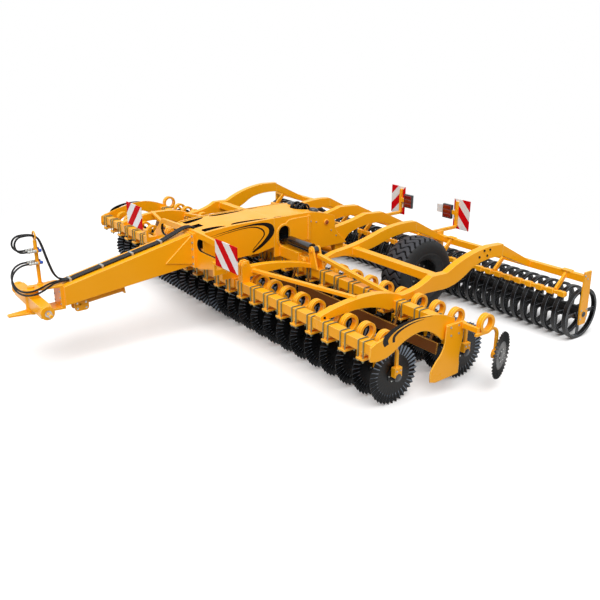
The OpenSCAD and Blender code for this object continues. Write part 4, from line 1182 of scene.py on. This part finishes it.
@dataclass(frozen=True)
class ScraperClamps:
    """Clamps that hold the scraper blades on a section's bar, one at each gap between rings."""

    section: str
    body: str
    start: float
    end: float
    pitch: float = 146.0
    bar_y: tuple[float, float] = (2725.0, 2765.0)
    bar_z: tuple[float, float] = (532.0, 572.0)
    inset: float = 160.0
    half: float = 44.0
    proud: float = 12.0

    def build(self) -> None:
        """Makes the clamps and their bolts."""
        mesher = Mesher()
        count = round((self.end - self.start - 2 * self.inset) / self.pitch)
        for i in range(count + 1):
            x = self.start + self.inset + i * (self.end - self.start - 2 * self.inset) / count
            mesher.index = 0
            mesher.block(at(x - self.half, self.bar_y[0] - self.proud, self.bar_z[0] - self.proud),
                         at(x + self.half, self.bar_y[1] - 4, self.bar_z[1] + self.proud), 4)
            mesher.index = 1
            mesher.bolt(at(x, sum(self.bar_y) / 2, self.bar_z[1] + self.proud), Z, 7)
        mesher.piece(f"scraper_clamps_{self.section}", [ENAMEL, ZINC], self.body, sharp=30)


@dataclass(frozen=True)
class RearLamp:
    """A rear lamp: a ribbed red lens in a black frame."""

    side: Side
    x: tuple[float, float] = (310.0, 480.0)
    y: tuple[float, float] = (3503.0, 3555.0)
    z: tuple[float, float] = (830.0, 1030.0)
    frame_w: float = 12.0
    rows: int = 3

    def build(self, mesher: Mesher) -> None:
        """Adds the lamp.

        Args:
            mesher: Collector of both lamps.
        """
        low, high = sorted(self.side.value * x for x in self.x)
        mesher.index = 1
        mesher.block(at(low, self.y[0] + 5, self.z[0]), at(high, self.y[1] - 5, self.z[1]), 5)
        mesher.index = 0
        w = self.frame_w
        tall = (self.z[1] - self.z[0] - 2 * w) / self.rows
        for i in range(self.rows):
            z = self.z[0] + w + i * tall
            mesher.block(at(low + w, self.y[0], z + 2), at(high - w, self.y[1], z + tall - 2), 5)


@dataclass(frozen=True)
class WheelNuts:
    """Nuts and yellow hub of one wheel."""

    side: Side
    count: int = 8
    ring: float = 118.0
    hub: float = 72.0
    hub_reach: float = 54.0
    nut_size: float = 11.0
    outside: float = 400.0
    wheel: tuple[float, float, float] = (1160.0, 2150.0, 470.0)

    def build(self) -> None:
        """Makes the nuts and the hub on the rim's outer face."""
        mesher = Mesher()
        x, y, z = self.wheel
        way = X * self.side.value
        out = self.side.value * (x + self.outside)
        for t in turns(self.count):
            start = at(out, y + self.ring * math.cos(t), z + self.ring * math.sin(t))
            mesher.bolt(seat(f"rim_{self.side.word}", start, -way), way, self.nut_size)
        mesher.index = 1
        face = seat(f"rim_{self.side.word}", at(out, y + self.hub, z), -way)
        hub, reach = self.hub, self.hub_reach
        mesher.turned([(-2, hub), (reach - 22, hub), (reach - 14, hub - 10), (reach - 12, hub - 26),
                       (reach, hub - 34), (reach + 2, 6)], face - Y * (hub * MM), way, 32)
        mesher.piece(f"wheel_nuts_{self.side.word}", [ZINC, ENAMEL], f"wheel_{self.side.word}", sharp=40)


@dataclass
class WarningBoard:
    """A board with red and white slanted stripes on both faces."""

    name: str
    middle: Vector
    width: float
    height: float
    lean: int
    thickness: float = 10.0
    stripe: float = 100.0
    proud: float = 1.0

    def build(self) -> bpy.types.Object:
        """Makes the striped skin round the board's own solid.

        Returns:
            The object.
        """
        mesher = Mesher()
        w, h, d = (size / 2 + self.proud for size in (self.width, self.height, self.thickness))
        corners = [(-w, -h), (w, -h), (w, h), (-w, h)]
        band = self.stripe * math.sqrt(2)
        bands = range(-5, 6) if self.lean else [0]
        for k in bands:
            strip = clip(corners, (k - 0.5) * band, (k + 0.5) * band, self.lean) if self.lean else corners
            if len(strip) < 3:
                continue
            mesher.index = (k + 1) % 2 if self.lean else 0
            mesher.prism([self.middle + Vector((u, -d, v)) * MM for u, v in strip],
                         Vector((0, 2 * d * MM, 0)))
        return mesher.piece(self.name, [SHEET_WHITE, SHEET_RED], "chassis", sharp=30)


@dataclass(frozen=True)
class PhotoCamera:
    """Camera at the photograph's angle."""

    place: tuple[float, float, float] = (7.184, -4.163, 3.281)
    azimuth_deg: float = 53.33
    elevation_deg: float = 20.28
    focal_px: float = 714.8
    frame_px: float = 600.0
    sensor_mm: float = 36.0

    def build(self) -> None:
        """Makes the camera and hands it to the scene."""
        data = bpy.data.cameras.new("photo_camera")
        data.sensor_width = self.sensor_mm
        data.lens = self.focal_px / self.frame_px * self.sensor_mm
        made = bpy.data.objects.new("photo_camera", data)
        bpy.context.scene.collection.objects.link(made)
        a, e = math.radians(self.azimuth_deg), math.radians(self.elevation_deg)
        ahead = Vector((-math.sin(a) * math.cos(e), math.cos(a) * math.cos(e), -math.sin(e)))
        x, y, z = self.place
        made.location = (x, y + ROW, z)
        made.rotation_euler = ahead.to_track_quat("-Z", "Y").to_euler()
        bpy.context.scene.camera = made


@dataclass(frozen=True)
class Studio:
    """Pale floor, white surroundings and one broad soft lamp overhead."""

    floor_size: float = 160.0
    fade: tuple[float, float] = (4.0, 7.5)
    sky: float = 0.54
    key: float = 3.0
    key_from: tuple[float, float, float] = (0.34, -0.36, 0.87)
    key_spread_deg: float = 60.0
    floor_seen: str = "#FAFAFA"
    floor_bounce: str = "#8C8C8C"

    def build(self) -> None:
        """Makes the floor, the world and the lamp."""
        self.floor()
        self.world()
        data = bpy.data.lights.new("overhead", "SUN")
        data.energy = self.key
        data.angle = math.radians(self.key_spread_deg)
        made = bpy.data.objects.new("overhead", data)
        bpy.context.scene.collection.objects.link(made)
        made.rotation_euler = (-Vector(self.key_from)).to_track_quat("-Z", "Y").to_euler()
        bpy.context.scene.view_settings.view_transform = "Standard"

    def shown(self, tree: bpy.types.NodeTree) -> bpy.types.NodeSocket:
        """Tells the rays that show the surroundings from those that light the machine.

        Args:
            tree: Node tree of the floor or the world.

        Returns:
            1 on rays that show the surroundings, straight, in gloss or through glass, and 0 on others.
        """
        path = add_node(tree, "ShaderNodeLightPath")
        direct = add_node(tree, "ShaderNodeMath", {
            0: path.outputs["Is Camera Ray"], 1: path.outputs["Is Glossy Ray"]}, operation="MAXIMUM")
        all_three = add_node(tree, "ShaderNodeMath", {
            0: direct.outputs["Value"], 1: path.outputs["Is Transmission Ray"]}, operation="MAXIMUM")
        return all_three.outputs["Value"]

    def floor(self) -> None:
        """Adds the floor, white far from the machine and pale near it."""
        mesh = bpy.data.meshes.new("floor")
        half = self.floor_size / 2
        corners = [(-half, -half, 0), (half, -half, 0), (half, half, 0), (-half, half, 0)]
        mesh.from_pydata(corners, [], [(0, 1, 2, 3)])
        made = bpy.data.objects.new("floor", mesh)
        bpy.context.scene.collection.objects.link(made)
        paint = bpy.data.materials.new("pale_studio_floor")
        paint.use_nodes = True
        tree = paint.node_tree
        tree.nodes.clear()
        where = add_node(tree, "ShaderNodeTexCoord").outputs["Object"]
        far = add_node(tree, "ShaderNodeVectorMath", {0: where}, operation="LENGTH")
        share = add_node(tree, "ShaderNodeMapRange", {
            "Value": far.outputs["Value"], "From Min": self.fade[0], "From Max": self.fade[1]},
            interpolation_type="SMOOTHSTEP")
        seen = self.shown(tree)
        tint = add_node(tree, "ShaderNodeMix", {
            "Factor": seen, 6: hex_linear(self.floor_bounce), 7: hex_linear(self.floor_seen)},
            data_type="RGBA")
        dull = add_node(tree, "ShaderNodeBsdfDiffuse", {"Color": tint.outputs[2]})
        glow = add_node(tree, "ShaderNodeEmission", {"Color": hex_linear("#FFFFFF"), "Strength": 1.0})
        white = add_node(tree, "ShaderNodeMath", {0: seen, 1: share.outputs["Result"]}, operation="MULTIPLY")
        mixed = add_node(tree, "ShaderNodeMixShader", {
            0: white.outputs["Value"], 1: dull.outputs["BSDF"], 2: glow.outputs["Emission"]})
        add_node(tree, "ShaderNodeOutputMaterial", {"Surface": mixed.outputs["Shader"]})
        mesh.materials.append(paint)

    def world(self) -> None:
        """Lights the machine from all round and shows white to the camera."""
        world = bpy.data.worlds.new("white_studio")
        bpy.context.scene.world = world
        world.use_nodes = True
        tree = world.node_tree
        tree.nodes.clear()
        level = add_node(tree, "ShaderNodeMapRange", {
            "Value": self.shown(tree), "To Min": self.sky, "To Max": 1.0})
        back = add_node(tree, "ShaderNodeBackground", {
            "Color": hex_linear("#FFFFFF"), "Strength": level.outputs["Result"]})
        add_node(tree, "ShaderNodeOutputWorld", {"Surface": back.outputs["Background"]})


@dataclass
class Harrow:
    """The whole machine's looks."""

    pitch: float = 250.0
    centre_discs: int = 6
    wing_discs: int = 9
    row_gap: float = 950.0
    disc_height: float = 300.0
    inset: float = 20.0
    edge_hub: tuple[float, float, float] = (3221.0, 1155.0, 372.0)
    edge_turn_deg: float = 20.0
    edge_off: float = 62.0
    edge_radius: float = 240.0
    edge_tooth: float = 8.0
    edge_flange: float = 30.0
    edge_stub: float = 95.0
    centre_bar: tuple[float, float] = (-735.0, 735.0)
    wing_bar: tuple[float, float] = (780.0, 3020.0)
    board_long: float = 423.0
    board_short: float = 282.0
    front_board: tuple[float, float, float] = (1110.0, -581.0, 1164.0)
    rear_board: tuple[float, float, float] = (635.0, 3550.0, 915.0)
    bare_plate: tuple[float, float, float] = (254.0, 3525.0, 950.0)
    bare_plate_size: float = 112.0
    bare_plate_sheet: float = 8.0

    def wing_places(self) -> list[float]:
        """Places of a wing's coils across the machine."""
        start = self.pitch * self.centre_discs / 2
        return [start + self.pitch * (i + 0.5) for i in range(self.wing_discs)]

    def centre_places(self) -> list[float]:
        """Places of the left half of the centre section's coils."""
        return [self.pitch * (i + 0.5) for i in range(self.centre_discs // 2)]

    def dress_nodes(self) -> None:
        """Gives every shown node its own finish, or that of its slot."""
        for row in frame["record"]["subparts"]:
            solid = frame["nodes"][row["node"]]
            finish = NODE_FINISHES.get(row["node"], SLOT_FINISHES[row["material_slot"]])
            solid.data.materials.clear()
            solid.data.materials.append(finish.material())

    def hoses(self) -> None:
        """Makes the free hoses and the run along the drawbar."""
        for hose in HOSES:
            hose.build()
        HoseRun().build()

    def gangs(self) -> None:
        """Makes the rows of discs and the edge discs."""
        back = DATUM.disc_back
        for row, y in (("front", back), ("rear", self.row_gap + back)):
            def spots(places: Sequence[float], side: Side) -> list[tuple[Vector, Vector]]:
                """Middles and axes of the discs on one side."""
                return [(at(side.value * (x - self.inset), y, self.disc_height), X * side.value)
                        for x in places]

            both = [spot for side in Side for spot in spots(self.centre_places(), side)]
            DiscGang(f"{row}_discs_centre", f"{row}_gang_centre", both).build()
            for side in Side:
                DiscGang(f"{row}_discs_{side.word}", f"{row}_gang_{side.word}",
                         spots(self.wing_places(), side)).build()
        for side in Side:
            x, y, z = self.edge_hub
            out = Matrix.Rotation(math.radians(self.edge_turn_deg * side.value), 3, "Z") @ (X * side.value)
            middle = at(side.value * x, y, z) + out * (self.edge_off * MM)
            DiscGang(f"edge_disc_{side.word}", f"edge_{side.word}", [(middle, -out)],
                     radius=self.edge_radius, tooth_depth=self.edge_tooth, flange_reach=self.edge_flange,
                     stub_length=self.edge_stub, flank_finish=DISC_PAINT).build()

    def clamps(self) -> None:
        """Makes the U-bolts and bearings of all sections."""
        half = self.centre_places()
        ArmClamps("centre", "chassis", [*half, *(-x for x in half)]).build()
        for side in Side:
            ArmClamps(side.word, f"wing_{side.word}", [side.value * x for x in self.wing_places()]).build()

    def scrapers(self) -> None:
        """Makes the scraper clamps of all sections."""
        ScraperClamps("centre", "chassis", *self.centre_bar).build()
        for side in Side:
            start, end = sorted(side.value * x for x in self.wing_bar)
            ScraperClamps(side.word, f"wing_{side.word}", start, end).build()

    def boards(self) -> None:
        """Makes the striped skins of the four warning boards, the bare plate and the lamps."""
        wide, tall = (self.board_long, self.board_short), (self.board_short, self.board_long)
        for side in Side:
            for name, (x, y, z), size in (("front", self.front_board, wide), ("rear", self.rear_board, tall)):
                WarningBoard(f"{name}_board_{side.word}", at(side.value * x, y, z), *size, side.value).build()
        WarningBoard("bare_plate", at(*self.bare_plate), self.bare_plate_size, self.bare_plate_size, 0,
                     thickness=self.bare_plate_sheet).build()
        lamps = Mesher()
        for side in Side:
            RearLamp(side).build(lamps)
        made = lamps.piece("rear_lamps_ribbed", [LENS, MOULDED_BLACK], "chassis", sharp=40)
        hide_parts("rear_lamps")

    def build(self) -> None:
        """Builds every sub-assembly in order."""
        self.dress_nodes()
        BoxHollow().dress()
        self.hoses()
        self.gangs()
        for side in Side:
            RoadTyre(side).build()
            WheelNuts(side).build()
            WingFittings(side).build()
        self.clamps()
        self.scrapers()
        self.boards()
        Films().build()
        TowerFittings().build()
        DrawbarFittings().build()


def main() -> None:
    """Builds the camera, the machine's looks and the studio."""
    logging.basicConfig(level=logging.INFO, format="%(name)s: %(message)s")
    PhotoCamera().build()
    Harrow().build()
    Studio().build()


if __name__ == "__main__":
    main()
